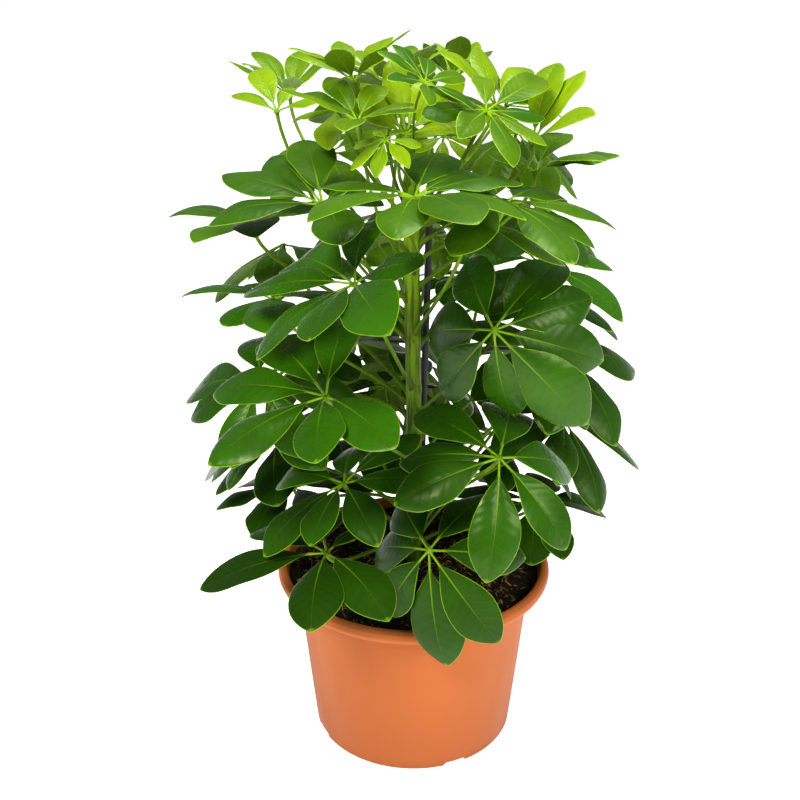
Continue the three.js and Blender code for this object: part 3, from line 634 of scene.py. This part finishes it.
def hub_rings(hub, leaf, small):
    """The knob where the leaflets meet: a low dome turned about the leaf's normal, r(t) = R sin(pi t)^0.8,
    h(t) = -H cos(pi t)."""
    normal, downhill, across = leaf
    t = np.linspace(0.04, 0.96, HUB_ROWS)
    angle = circle(HUB_SIDES)
    radius = HUB_HALF[0] * small * np.sin(np.pi * t) ** 0.8
    height = -HUB_HALF[1] * small * np.cos(np.pi * t)
    wheel = np.cos(angle)[:, None] * downhill + np.sin(angle)[:, None] * across
    return hub + height[:, None, None] * normal + radius[:, None, None] * wheel, t, angle / (2 * np.pi)


class Finish:
    """A material put together from named nodes, with short ways to write the sums in it."""

    def __init__(self, name):
        self.material = bpy.data.materials.new(name)
        self.material.use_nodes = True
        self.tree = self.material.node_tree
        self.shader = self.tree.nodes["Principled BSDF"]

    def add(self, kind, inputs=(), output=0, **settings):
        made = self.tree.nodes.new(kind)
        for key, value in settings.items():
            setattr(made, key, value)
        for key, value in dict(inputs).items():
            self.feed(made.inputs[key], value)
        return made.outputs[output]

    def feed(self, socket, value):
        if isinstance(value, bpy.types.NodeSocket):
            self.tree.links.new(value, socket)
        else:
            socket.default_value = value

    def math(self, operation, a, b=0.0):
        return self.add("ShaderNodeMath", {0: a, 1: b}, operation=operation)

    def plus(self, a, b):
        return self.math("ADD", a, b)

    def minus(self, a, b):
        return self.math("SUBTRACT", a, b)

    def times(self, a, b):
        return self.math("MULTIPLY", a, b)

    def away(self, a, b):
        """How far apart two numbers are."""
        return self.math("ABSOLUTE", self.minus(a, b))

    def step(self, value, low, high, start=0.0, end=1.0):
        inputs = {"Value": value, "From Min": low, "From Max": high, "To Min": start, "To Max": end}
        return self.add("ShaderNodeMapRange", inputs, interpolation_type="SMOOTHSTEP")

    def mix(self, share, a, b):
        a = (*a, 1) if isinstance(a, tuple) else a
        b = (*b, 1) if isinstance(b, tuple) else b
        return self.add("ShaderNodeMix", {0: share, 6: a, 7: b}, output=2, data_type="RGBA")

    def tint(self, base, colour, value, low, high, start=0.0, end=1.0):
        """Lays a colour over the base, by a share that steps from start to end as the value rises."""
        return self.mix(self.step(value, low, high, start, end), base, colour)

    def place(self, scale=(1, 1, 1)):
        point = self.add("ShaderNodeTexCoord", output=3)
        return self.add("ShaderNodeMapping", {"Vector": point, "Scale": scale})

    def noise(self, scale, detail=3.0, stretch=(1, 1, 1), roughness=0.55):
        inputs = {"Vector": self.place(stretch), "Scale": scale, "Detail": detail, "Roughness": roughness}
        return self.add("ShaderNodeTexNoise", inputs)

    def attribute(self, name):
        return self.add("ShaderNodeAttribute", output=2, attribute_name=name)

    def part(self, vector, axis):
        """One of a vector's three numbers."""
        return self.add("ShaderNodeSeparateXYZ", {0: vector}, output=axis)

    def surface(self):
        """The shares of the way along and round the piece's surface."""
        point = self.add("ShaderNodeUVMap", uv_map="surface")
        return self.part(point, 0), self.part(point, 1)

    def bump(self, height, distance, strength=1.0):
        inputs = {"Height": height, "Distance": distance, "Strength": strength}
        self.feed(self.shader.inputs["Normal"], self.add("ShaderNodeBump", inputs))

    def set(self, **values):
        for key, value in values.items():
            self.feed(self.shader.inputs[key.replace("_", " ")], value)


def shade(colour, factor=1.0):
    return tuple(min(1.0, float(part) * factor) for part in colour)


def blade_finish(name, deep, bright, stalk, gloss, shine):
    """A leaflet's skin. Across the blade, x = 4 pingpong(v, 1/2) - 1 runs from -1 to 1 on both faces, so the
    midrib is where |x| times half the breadth is under a millimetre, and the margin where |x| nears 1."""
    f = Finish(name)
    along, around = f.surface()
    half, tone = f.attribute("half"), f.attribute("tone")
    aside = f.away(f.times(f.math("PINGPONG", around, 0.5), 4.0), 1.0)
    under = f.step(around, 0.498, 0.502)
    rib = f.math("DIVIDE", f.times(aside, half), f.step(along, 0.1, 1.0, 1.0, 0.3))
    rib = f.step(rib, 0.25, 0.85, 1.0, 0.0)
    edge = f.step(f.times(f.minus(1.0, aside), half), 0.2, 0.65, 1.0, 0.0)
    margin = f.times(edge, f.step(along, 0.17, 0.3))
    broad = f.noise(26.0, 2.0)
    fine = f.noise(210.0, 4.0)
    # side veins slant forward from the midrib, a dozen pairs to a leaflet's length
    phase = f.plus(f.minus(f.times(along, 12.0), f.times(aside, 1.5)), f.times(f.minus(broad, 0.5), 0.5))
    line = f.away(f.math("FRACT", phase), 0.5)
    vein = f.times(f.step(line, 0.0, 0.11, 1.0, 0.0), f.step(aside, 0.75, 0.95, 1.0, 0.0))
    # lightness from broad mottling and the point tone, which on the low leaves carries painted shade
    light = f.plus(f.times(broad, 0.5), f.times(tone, 0.75))
    base = f.tint(deep, bright, light, 0.25, 1.0)
    base = f.tint(base, deep, fine, 0.35, 0.8, 0.0, 0.2)
    # darker towards the leaflet's base: mostly painted shade near the hub, partly a real leaf's own darkening
    base = f.tint(base, deep, along, 0.15, 0.55, 0.4, 0.0)
    base = f.mix(f.times(vein, 0.03), base, stalk)
    base = f.mix(f.times(under, 0.6), base, shade(stalk, 0.62))
    base = f.mix(f.times(rib, f.step(along, 0.2, 0.85, 0.6, 0.14)), base, stalk)
    base = f.mix(f.times(margin, 0.85), base, shade(stalk, 1.35))
    base = f.tint(base, shade(stalk, 1.2), along, 0.965, 1.0, 0.0, 0.5)
    base = f.tint(base, stalk, along, 0.125, 0.185, 1.0, 0.0)
    rough = f.plus(f.times(under, 0.2), f.step(fine, 0.2, 0.8, gloss - 0.05, gloss + 0.09))
    rough = f.plus(rough, f.step(tone, 0.1, 0.5, 0.14, 0.0))
    height = f.minus(f.step(line, 0.0, 0.5, 0.0, 0.3), f.times(rib, 0.9))
    height = f.plus(f.plus(height, f.times(fine, 0.12)), f.times(f.noise(48.0, 2.0), 2.2))
    f.set(Base_Color=base, Roughness=rough, Specular_IOR_Level=shine, Specular_Tint=(0.85, 1.0, 0.5, 1))
    f.bump(height, 0.00028, 0.9)
    return f.material


def stalk_finish(stalk):
    """The leaf stalk's skin: pale green, with painted shade towards its foot, brown right at the foot, and
    fine lengthwise streaks.
    """
    f = Finish("leaf_stalk")
    along = f.surface()[0]
    streak = f.noise(420.0, stretch=(1, 1, 0.15))
    base = f.tint(shade(stalk, 0.55), stalk, f.noise(45.0), 0.35, 0.7)
    base = f.tint(base, shade(stalk, 0.35), streak, 0.5, 0.7, 0.0, 0.35)
    # painted shade: darker towards the foot, inside the foliage by the trunk
    base = f.tint(base, (0.045, 0.095, 0.002), along, 0.0, 0.7, 0.6, 0.0)
    base = f.tint(base, (0.10, 0.055, 0.018), along, 0.0, 0.035, 0.75, 0.0)
    f.set(Base_Color=base, Roughness=f.step(streak, 0.3, 0.7, 0.36, 0.55), Specular_IOR_Level=0.12)
    f.bump(streak, 0.00012, 0.7)
    return f.material


def trunk_finish(bark):
    """Green bark: lengthwise ribs and dark seams, brown rings at the joints, painted shade towards the soil,
    paler towards the tip.
    """
    f = Finish("green_bark")
    along = f.surface()[0]
    seam = f.noise(330.0, stretch=(1, 1, 0.06))
    grain = f.noise(900.0, 4.0, (1, 1, 0.3))
    base = f.tint(shade(bark, 0.22), shade(bark, 1.2), seam, 0.38, 0.62)
    base = f.tint(base, (0.16, 0.10, 0.025), f.noise(260.0, 5.0), 0.58, 0.7, 0.0, 0.22)
    # painted shade: darker towards the soil, under the leaves
    base = f.tint(base, (0.030, 0.070, 0.003), along, 0.1, 0.8, 0.85, 0.0)
    base = f.tint(base, shade(bark, 1.7), along, 0.6, 1.0, 0.0, 0.5)
    base = f.mix(f.times(f.attribute("tone"), 0.22), base, (0.105, 0.085, 0.012))
    f.set(Base_Color=base, Roughness=f.step(grain, 0.3, 0.7, 0.4, 0.62), Specular_IOR_Level=0.12)
    f.bump(f.plus(seam, f.times(grain, 0.4)), 0.0004, 0.8)
    return f.material


def cane_finish(black):
    """Black stained cane: faint lengthwise grain, worn a little paler in places."""
    f = Finish("cane_black")
    grain = f.noise(700.0, 4.0, (1, 1, 0.05))
    base = f.tint(shade(black, 0.6), shade(black, 2.4), grain, 0.4, 0.7)
    base = f.tint(base, (0.045, 0.042, 0.032), f.noise(60.0), 0.6, 0.75, 0.0, 0.4)
    f.set(Base_Color=base, Roughness=f.step(grain, 0.3, 0.7, 0.45, 0.7))
    f.bump(grain, 0.0002, 0.7)
    return f.material


def soil_finish(earth):
    """Peat: near-black crumbs with browner and paler specks, damp and rough."""
    f = Finish("peat")
    crumb = f.noise(330.0, 6.0, roughness=0.7)
    cells = f.add("ShaderNodeTexVoronoi", {"Vector": f.place(), "Scale": 240.0})
    base = f.tint(shade(earth, 0.5), shade(earth, 2.2), crumb, 0.35, 0.7)
    base = f.tint(base, shade(earth, 3.6), f.noise(42.0), 0.5, 0.75, 0.0, 0.5)
    base = f.tint(base, (0.20, 0.12, 0.05), f.noise(900.0, 2.0), 0.62, 0.72, 0.0, 0.5)
    f.set(Base_Color=base, Roughness=f.step(crumb, 0.3, 0.7, 0.75, 1.0), Specular_IOR_Level=0.1)
    f.bump(f.plus(crumb, f.times(cells, 0.7)), 0.0014, 0.9)
    return f.material


def litter_finish(name, dark, bright):
    """Bark chips, fibres and the root: each has its own tone between dark and bright, with a woody grain."""
    f = Finish(name)
    grain = f.noise(700.0, 4.0)
    base = f.mix(f.attribute("tone"), dark, bright)
    base = f.tint(base, shade(dark, 0.6), grain, 0.45, 0.7, 0.0, 0.5)
    f.set(Base_Color=base, Roughness=f.step(grain, 0.3, 0.7, 0.65, 0.95), Specular_IOR_Level=0.15)
    f.bump(grain, 0.0003, 0.8)
    return f.material


def pot_finish(clay):
    """Moulded terracotta-coloured plastic: faintly mottled, finely grained, darker on the foot, and brighter
    towards the rim with painted light.
    """
    f = Finish("terracotta_plastic")
    grain = f.noise(1500.0, 2.0)
    flow = f.noise(60.0, stretch=(1, 1, 0.12))
    height = f.part(f.place(), 2)
    # painted light: brighter towards the rim and duller lower down, with a faint random mottle over it
    painted_light_and_mottle = f.plus(f.step(height, 0.0, 0.125, 0.0, 0.8), f.step(f.noise(14.0, 2.0), 0.3, 0.7, 0.0, 0.2))
    base = f.mix(painted_light_and_mottle, shade(clay, 0.9), shade(clay, 1.16))
    base = f.tint(base, shade(clay, 1.25), flow, 0.45, 0.75, 0.0, 0.12)
    base = f.tint(base, shade(clay, 0.6), height, 0.0, 0.010, 0.3, 0.0)
    base = f.tint(base, shade(clay, 0.7), grain, 0.60, 0.75, 0.0, 0.1)
    f.set(Base_Color=base, Roughness=f.step(flow, 0.3, 0.7, 0.46, 0.58), Specular_IOR_Level=0.1,
          Specular_Tint=(1.0, 0.75, 0.5, 1))
    f.bump(f.plus(f.times(grain, 0.35), f.times(flow, 0.5)), 0.00022, 0.5)
    return f.material


def floor_finish(pale):
    """A pale floor that glows a little, more so behind the plant, so that it runs into the backdrop."""
    f = Finish("pale_floor")
    behind = f.part(f.place(), 1)
    f.set(Base_Color=f.mix(f.noise(3.0, 2.0), shade(pale, 0.995), shade(pale)), Roughness=0.8,
          Emission_Color=(1, 1, 1, 1), Emission_Strength=f.step(behind, 1.0, 4.0, 0.74, 0.80))
    return f.material


def grow_leaf(number, row, materials):
    """One whole leaf: stalk, hub and leaflets, which droop more and less by turns, as in the solids."""
    kind, height, swing, hub, azimuth, tilt, droop, turns, lengths = row
    draw = np.random.default_rng([SEED, number])
    hub = np.array(hub, float)
    leaf = leaf_frame(azimuth, tilt)
    small = float(np.clip(max(lengths) / GROWN_LENGTH, LEAST_HUB, 1))
    surface = Surface()
    # a leaf's tone: a random draw, cut down with painted shade when its hub is low among the rest
    own = draw.uniform(*TONES) * np.interp(hub[2], SHADE_HEIGHTS, (SHADE_TONE, 1))
    last = len(turns) - 1
    for i, (turn, length) in enumerate(zip(turns, lengths)):
        lift = 0 if i == last and i % 2 == 0 else LIFT * (1 if i % 2 else -1)
        rings, way, around, half = leaflet_rings(hub, leaf, kind, np.radians(turn), length, droop + lift,
                                                 small, draw)
        tone = np.clip(own + draw.uniform(-TONE_SPREAD, TONE_SPREAD), 0, 1)
        surface.add(rings, way, around, tone, half=half)
    surface.add(*petiole_rings(height, swing, hub, leaf[0], small), tone=own, slot=1)
    surface.add(*hub_rings(hub, leaf, small), tone=own, slot=1)
    name = "leaf_%02d" % number
    surface.build("grown_" + name, materials, kind[0], name)


def trunk_rings():
    """The trunk as level rings, fewer in its buried part, and the points' tones, which mark the scars. Its
    radius is the stem radius + rib height cos(ribs a + slow twist), with a finer rib over that, a raised scar
    where each leaf stalk leaves it, and a tip rounded off over its last 4 mm."""
    ribs = bpy.context.scene.plant_trunk.ribs
    buried = np.linspace(STEM_AXIS[0][2], HIDDEN_BELOW, 15)[:-1]
    z = np.concatenate([buried, np.linspace(HIDDEN_BELOW, STEM_TIP, TRUNK_ROWS)])
    angle = circle(TRUNK_SIDES)
    joints = np.array([row[1] for row in LEAVES], float)
    toward = np.array([np.arctan2(row[3][1], row[3][0]) + np.radians(row[2]) for row in LEAVES])
    near = np.exp(-((z[:, None, None] - joints) / SCAR_SPREAD) ** 2)
    scar = np.clip((near * (0.55 + 0.45 * np.cos(angle[None, :, None] - toward))).max(-1), 0, 1)
    skin_height = RIB_HEIGHT * np.cos(ribs * angle + 0.016 * z[:, None])
    skin_height += FINE_RIB_HEIGHT * np.cos(FINE_RIBS * angle - 0.03 * z[:, None])
    end = np.sqrt(np.clip((STEM_TIP - z) / 4, 0.03, 1))
    radius = (stem_radius(z)[:, None] + skin_height + SCAR_HEIGHT * scar) * end[:, None]
    return level_rings(along_line(STEM_AXIS, z), radius, angle), np.append(scar, (0.5, 0.5))


def cane_rings():
    """The cane as rings along a straight line, radius 2.5 (1 + a little waver), its top edge rounded."""
    top = CANE_TOP[2]
    z = np.concatenate([np.linspace(CANE_FOOT[2], top - 1, CANE_ROWS), top - np.array([0.6, 0.25, 0.0])])
    angle = circle(CANE_SIDES)
    end = np.interp(z, [top - 1, top - 0.5, top], [1, 0.95, 0.7])
    waver = 0.02 * np.sin(0.11 * z[:, None] + 2 * angle) * np.cos(5 * angle)
    return level_rings(along_line((CANE_FOOT, CANE_TOP), z), CANE_RADIUS * end[:, None] * (1 + waver), angle)


def lattice_noise(x, y, cell, seed):
    """Smooth noise between -1 and 1: random heights on a square lattice, eased between its corners."""
    grid = np.random.default_rng([SEED, seed]).uniform(-1, 1, (LATTICE, LATTICE))
    u, v = x / cell + LATTICE / 2, y / cell + LATTICE / 2
    i, j = np.floor(u).astype(int), np.floor(v).astype(int)
    p, q = u - i, v - j
    p, q = p * p * (3 - 2 * p), q * q * (3 - 2 * q)
    i, j = i % (LATTICE - 1), j % (LATTICE - 1)
    return ((grid[i, j] * (1 - p) + grid[i + 1, j] * p) * (1 - q)
            + (grid[i, j + 1] * (1 - p) + grid[i + 1, j + 1] * p) * q)


def soil_height(x, y):
    """Soil level: a low dome that falls from 136 mm to 133 mm at the edge, with crumbs of three sizes that
    fade over the last 5 mm, where it meets the pot."""
    r = np.hypot(x, y)
    rough = sum(high * lattice_noise(x, y, cell, seed) for seed, (cell, high) in enumerate(CRUMBS, 1))
    return np.interp(r, *SOIL_DOME) + np.clip((SOIL_RADIUS - r) / 5, 0, 1) * rough


def soil_rings():
    """The soil as one turned surface: up its buried wall, then inwards over the crumbly top."""
    wall = np.array(SOIL_WALL, float)
    r = np.concatenate([wall[:, 0], np.linspace(SOIL_RADIUS, 1, SOIL_ROWS)])[:, None]
    angle = circle(SOIL_COLUMNS)
    z = soil_height(r * np.cos(angle), r * np.sin(angle))
    z[:len(wall)] = wall[:, 1:]
    return turned_rings(r, z, angle)


def scattered(count, draw, inner=9.0, outer=91.0):
    """Places spread evenly over the soil round the trunk: r = sqrt of an even draw between two squares."""
    r = np.sqrt(draw.uniform(inner ** 2, outer ** 2, count))
    turn = draw.uniform(0, 2 * np.pi, count)
    return r * np.cos(turn), r * np.sin(turn)


def turned(x, y, angle):
    """Rows of points turned about the origin, each row by its own angle."""
    cos, sin = np.cos(angle)[:, None], np.sin(angle)[:, None]
    return x * cos - y * sin, x * sin + y * cos


def soil_chips(count, draw):
    """Bark chips: a 12-cornered lump each, stretched to a flake, roughened corner by corner, rolled, turned
    and half sunk. The lump's corners are (0, 1, golden) with every sign and in every turn, and its faces join
    three that are near each other."""
    golden = (1 + 5 ** 0.5) / 2
    first = np.array([(0, s, t * golden) for s in (-1, 1) for t in (-1, 1)], float)
    corners = unit(np.vstack([first, np.roll(first, 1, 1), np.roll(first, 2, 1)]))
    apart = np.linalg.norm(corners[:, None] - corners[None], axis=-1)
    near = (apart > 0.1) & (apart < 1.1)
    i, j, k = (part.ravel() for part in np.meshgrid(*[np.arange(12)] * 3, indexing="ij"))
    keep = (i < j) & (i < k) & near[i, j] & near[j, k] & near[i, k]
    normals = np.cross(corners[j] - corners[i], corners[k] - corners[i])
    faces = np.stack([i, j, k], -1)[keep & ((normals * corners[i]).sum(1) > 0)]
    size = np.stack([draw.uniform(*span, count) for span in CHIP_SIZES], -1)
    size *= draw.choice(CHIP_SCALES, (count, 1), p=CHIP_SHARES)
    rough = 1 + draw.uniform(-CHIP_ROUGHNESS, CHIP_ROUGHNESS, (count, 12, 1))
    x, y, z = np.moveaxis(corners * rough * size[:, None], -1, 0)
    yaw, roll = draw.uniform(0, 2 * np.pi, count), draw.uniform(-CHIP_ROLL, CHIP_ROLL, count)
    x, z = turned(x, z, roll)
    x, y = turned(x, y, yaw)
    px, py = scattered(count, draw)
    points = np.stack([x + px[:, None], y + py[:, None], z + (soil_height(px, py) + 0.15)[:, None]], -1)
    every = (faces + 12 * np.arange(count)[:, None, None]).reshape(-1, 3)
    return points.reshape(-1, 3), every.tolist(), np.repeat(draw.uniform(0, 1, count) ** 4, 12)


def soil_fibres(count, draw):
    """Fibres: a three-sided thread each, five corners long, bowed sideways and up by a half sine, its ends
    dipped into the soil."""
    rows = np.linspace(-0.5, 0.5, 5)
    length = draw.uniform(*FIBRE_LENGTH, count)[:, None]
    yaw = draw.uniform(0, 2 * np.pi, count)
    bow = draw.uniform(-FIBRE_BOW, FIBRE_BOW, count)[:, None] * length
    rise = draw.uniform(*FIBRE_RISE, count)[:, None]
    px, py = scattered(count, draw, outer=86.0)
    x, y = turned(length * rows, bow * np.cos(np.pi * rows), yaw)
    x, y = x + px[:, None], y + py[:, None]
    z = soil_height(x, y) + 0.1 + rise * np.cos(np.pi * rows) - 0.5 * (np.abs(rows) > 0.4)
    angle = circle(3)
    thick = draw.uniform(*FIBRE_RADIUS, count)[:, None] * np.array([0.4, 1, 1, 1, 0.4])
    side = np.stack([-np.sin(yaw), np.cos(yaw), 0 * yaw], -1)[:, None, None]
    ring = np.cos(angle)[:, None] * side + np.sin(angle)[:, None] * np.array([0, 0, 1.0])
    points = np.stack([x, y, z], -1)[:, :, None] + thick[..., None, None] * ring
    ends = np.array([(2, 1, 0), (12, 13, 14)])
    start = 15 * np.arange(count)[:, None, None]
    faces = (ring_quads(5, 3) + start).reshape(-1, 4).tolist() + (ends + start).reshape(-1, 3).tolist()
    return points.reshape(-1, 3), faces, np.repeat(draw.uniform(0.1, 1, count), 15)


def root_rings():
    """A pale root that arches out of the soil and back in: a cubic curve with a round section."""
    t = np.linspace(0, 1, 24)
    x, y = ROOT_PLACE
    base = float(soil_height(np.array(x), np.array(y)))
    ends = np.array([(x - 5, y + 9, base - 2.5), (x - 3, y + 6, base + 7), (x + 5, y - 3, base + 6),
                     (x + 4, y - 9, base - 3)])
    points, ways = bezier(*ends, t)
    sideways = np.array([1.0, 0.45, 0])
    rings, around = tube_rings(points, ways, sideways, alike(len(t), ROOT_RADIUS), np.ones(len(t)), 10)
    return rings, t, around


def scatter_piece(name, points, faces, tones, material):
    """An object of many small bodies that lies on the soil."""
    piece = make_object(name, points, faces, (material,))
    mark_points(piece.data, "tone", tones)
    piece.data.update()
    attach(piece, "root")


def rounded(profile, rows):
    """A profile of (radius, height) corners, eased: it is cut into even rows, and each row is then drawn in
    by averaging with its neighbours twice."""
    profile = np.array(profile, float)
    reach = np.append(0, np.cumsum(np.linalg.norm(np.diff(profile, axis=0), axis=1)))
    at = np.linspace(0, reach[-1], rows)
    points = np.stack([np.interp(at, reach, profile[:, 0]), np.interp(at, reach, profile[:, 1])], -1)
    for _ in range(2):
        points[1:-1] = (points[:-2] + 2 * points[1:-1] + points[2:]) / 4
    return points


def pot_rings():
    """The pot turned about its axis: underside, foot ring, wall, rolled collar, inner wall and floor. Within
    half the notch width of four azimuths the foot ring is lifted to the underside: z = max(z, 3 s), where s
    is 1 in the notch and falls to 0 over the millimetre at its edge."""
    wall = np.linspace((BASE_RADIUS, 0), COLLAR_FOOT, 60)[3:-1]
    inner = np.linspace(COLLAR[-1], (76.5, FLOOR_TOP), 24)[1:]
    ring = BASE_RADIUS - FOOT_RING
    foot = [(ring - 2.2, FOOT_HEIGHT), (ring - 1.2, 2.6), (ring - 0.3, 0.5), (ring, 0.05), (ring + 0.6, 0),
            (BASE_RADIUS - 0.8, 0), (BASE_RADIUS - 0.25, 0.15), (BASE_RADIUS, 0.7), (BASE_RADIUS + 0.2, 3.05)]
    under = np.vstack([PAD_EDGE, foot])
    floor = [(r, FLOOR_TOP) for r in (60, 30, 0.5)]
    profile = np.vstack([under, wall, rounded(COLLAR, 90), inner, floor])
    angle = circle(POT_COLUMNS)
    r, z = profile[:, :1] + 0 * angle, profile[:, 1:] + 0 * angle
    turn = (angle - np.radians(NOTCH_AZIMUTH) + np.pi / NOTCHES) % (2 * np.pi / NOTCHES) - np.pi / NOTCHES
    cut = np.clip(NOTCH_WIDTH / 2 + 0.5 - np.abs(r * np.sin(turn)), 0, 1)
    cut *= (r > ring - 2) & (np.arange(len(profile)) < len(under) + 3)[:, None]
    return turned_rings(r, np.maximum(z, FOOT_HEIGHT * cut), angle)


def cut_drains(piece):
    """Four drain holes: round pins taken out of the pot's floor, one in line with each notch."""
    angle = circle(40)
    pins = Surface()
    for turn in np.radians(NOTCH_AZIMUTH) + circle(NOTCHES):
        x, y = DRAIN_PLACE * np.cos(turn), DRAIN_PLACE * np.sin(turn)
        pins.add(*level_rings(np.array([(x, y, 1.0), (x, y, 7.0)]), alike((2, 1), DRAIN_RADIUS), angle))
    cutter = make_object("drain_pins", np.vstack(pins.points), pins.faces)
    cut = piece.modifiers.new("drains", "BOOLEAN")
    cut.operation = "DIFFERENCE"
    cut.solver = "EXACT"
    cut.object = cutter
    bpy.context.view_layer.update()
    done = bpy.data.meshes.new_from_object(piece.evaluated_get(bpy.context.evaluated_depsgraph_get()))
    piece.modifiers.clear()
    piece.data = done
    bpy.data.objects.remove(cutter)


def lay_floor(pale):
    corners = FLOOR_REACH * np.array([(-1, -1, 0), (1, -1, 0), (1, 1, 0), (-1, 1, 0)])
    floor = make_object("floor", corners, [(0, 1, 2, 3)], (floor_finish(pale),))


def surround(settings):
    """Even light all round, which looks brighter to the camera than it lights the plant."""
    world = bpy.data.worlds.new("soft_studio")
    world.use_nodes = True
    tree = world.node_tree
    background = tree.nodes["Background"]
    background.inputs["Color"].default_value = (1, 1, 1, 1)
    seen = tree.nodes.new("ShaderNodeLightPath")
    strength = tree.nodes.new("ShaderNodeMapRange")
    strength.inputs["To Min"].default_value = settings.world
    strength.inputs["To Max"].default_value = settings.backdrop
    tree.links.new(seen.outputs["Is Camera Ray"], strength.inputs["Value"])
    tree.links.new(strength.outputs["Result"], background.inputs["Strength"])
    bpy.context.scene.world = world


def hang_light(name, place, size, power):
    """A flat rectangle of light that faces the plant."""
    data = bpy.data.lights.new(name, "AREA")
    data.shape = "RECTANGLE"
    data.size, data.size_y = size
    data.energy = power
    light = bpy.data.objects.new(name, data)
    light.location = place
    x, y, z = np.array(LIT_POINT) - np.array(place)
    light.rotation_euler = (math.atan2(math.hypot(x, y), -z), 0, math.atan2(-x, y))
    bpy.context.scene.collection.objects.link(light)


def set_camera():
    """The camera at the photograph's eye point, facing along +Y and pitched down."""
    lens = bpy.data.cameras.new("camera")
    lens.lens = LENS
    lens.sensor_width = SENSOR
    camera = bpy.data.objects.new("camera", lens)
    camera.location = np.array(EYE) * MM
    camera.rotation_euler = (math.radians(90 - PITCH), 0, 0)
    bpy.context.scene.collection.objects.link(camera)
    bpy.context.scene.camera = camera


class PLANT_OT_leaves(bpy.types.Operator):
    """Grow the leaves."""
    bl_idname = "plant.leaves"
    bl_label = "Grow leaves"

    def execute(self, context):
        leaf = context.scene.plant_leaf
        finishes = {}
        for look, (deep, dark, bright, pale, stalk, rough, shine) in BLADE_LOOKS.items():
            name = "blade_" + look.removeprefix("leaf_")
            deep, bright = shade(getattr(leaf, deep), dark), shade(getattr(leaf, bright), pale)
            finishes[look] = blade_finish(name, deep, bright, shade(leaf.stalk, stalk), leaf.gloss + rough,
                                          shine)
        stem = stalk_finish(shade(leaf.stalk))
        for number, row in enumerate(LEAVES, 1):
            look = "shaded" if row[3][2] < SHADE_HEIGHTS[1] else row[0][0]
            grow_leaf(number, row, (finishes[look], stem))
        return {"FINISHED"}


class PLANT_OT_trunk(bpy.types.Operator):
    """Raise the trunk and the support cane."""
    bl_idname = "plant.trunk"
    bl_label = "Raise trunk and cane"

    def execute(self, context):
        settings = context.scene.plant_trunk
        shape, tones = trunk_rings()
        one_skin("green_trunk", shape, trunk_finish(settings.bark), "stem_green", "main_stem", tone=tones)
        one_skin("black_cane", cane_rings(), cane_finish(settings.cane), "cane_black", "support_cane")
        return {"FINISHED"}


class PLANT_OT_soil(bpy.types.Operator):
    """Fill in the potting soil with its chips, its fibres and a root."""
    bl_idname = "plant.soil"
    bl_label = "Fill in soil"

    def execute(self, context):
        settings = context.scene.plant_pot
        one_skin("potting_soil", soil_rings(), soil_finish(settings.soil), "potting_soil", "soil")
        draw = np.random.default_rng([SEED, LITTER_SEED])
        chips = litter_finish("bark_chips", (0.010, 0.006, 0.003), (0.40, 0.225, 0.05))
        scatter_piece("soil_chips", *soil_chips(settings.chips, draw), chips)
        fibres = litter_finish("peat_fibres", (0.05, 0.028, 0.010), (0.42, 0.27, 0.09))
        scatter_piece("soil_fibres", *soil_fibres(settings.fibres, draw), fibres)
        pale = litter_finish("pale_root", (0.30, 0.22, 0.12), (0.52, 0.42, 0.26))
        one_skin("surface_root", root_rings(), pale, "potting_soil", tone=0.9)
        return {"FINISHED"}


class PLANT_OT_pot(bpy.types.Operator):
    """Turn the pot and cut its drain holes."""
    bl_idname = "plant.pot"
    bl_label = "Turn pot"

    def execute(self, context):
        plastic = pot_finish(context.scene.plant_pot.clay)
        cut_drains(one_skin("nursery_pot", pot_rings(), plastic, "pot_plastic", "pot"))
        return {"FINISHED"}


class PLANT_OT_stage(bpy.types.Operator):
    """Set the floor, the light and the camera."""
    bl_idname = "plant.stage"
    bl_label = "Set stage"

    def execute(self, context):
        settings = context.scene.plant_stage
        lay_floor(settings.floor)
        surround(settings)
        for name, place, size, power in STUDIO_LIGHTS:
            hang_light(name, place, size, power * settings.key)
        set_camera()
        context.scene.view_settings.view_transform = "Standard"
        return {"FINISHED"}


class PLANT_PT_panel(bpy.types.Panel):
    """The plant's pieces and their settings."""
    bl_idname = "PLANT_PT_panel"
    bl_label = "Potted umbrella plant"
    bl_space_type = "VIEW_3D"
    bl_region_type = "UI"
    bl_category = "Plant"

    def draw(self, context):
        scene = context.scene
        for operator, group in ((PLANT_OT_leaves, "plant_leaf"), (PLANT_OT_trunk, "plant_trunk"),
                                (PLANT_OT_soil, "plant_pot"), (PLANT_OT_pot, "plant_pot"),
                                (PLANT_OT_stage, "plant_stage")):
            box = self.layout.box()
            box.operator(operator.bl_idname)
            settings = getattr(scene, group)
            for key in settings.__annotations__:
                box.prop(settings, key)


SETTINGS = (("plant_leaf", LeafSettings), ("plant_trunk", TrunkSettings), ("plant_pot", PotSettings),
            ("plant_stage", StageSettings))
OPERATORS = (PLANT_OT_leaves, PLANT_OT_trunk, PLANT_OT_soil, PLANT_OT_pot, PLANT_OT_stage)


def register():
    for name, kind in SETTINGS:
        bpy.utils.register_class(kind)
        setattr(bpy.types.Scene, name, PointerProperty(type=kind))
    for kind in (*OPERATORS, PLANT_PT_panel):
        bpy.utils.register_class(kind)


def unregister():
    for kind in reversed((*OPERATORS, PLANT_PT_panel)):
        bpy.utils.unregister_class(kind)
    for name, kind in reversed(SETTINGS):
        delattr(bpy.types.Scene, name)
        bpy.utils.unregister_class(kind)


def main():
    register()
    bpy.ops.plant.leaves()
    bpy.ops.plant.trunk()
    bpy.ops.plant.soil()
    bpy.ops.plant.pot()
    bpy.ops.plant.stage()


if __name__ == "__main__":
    main()
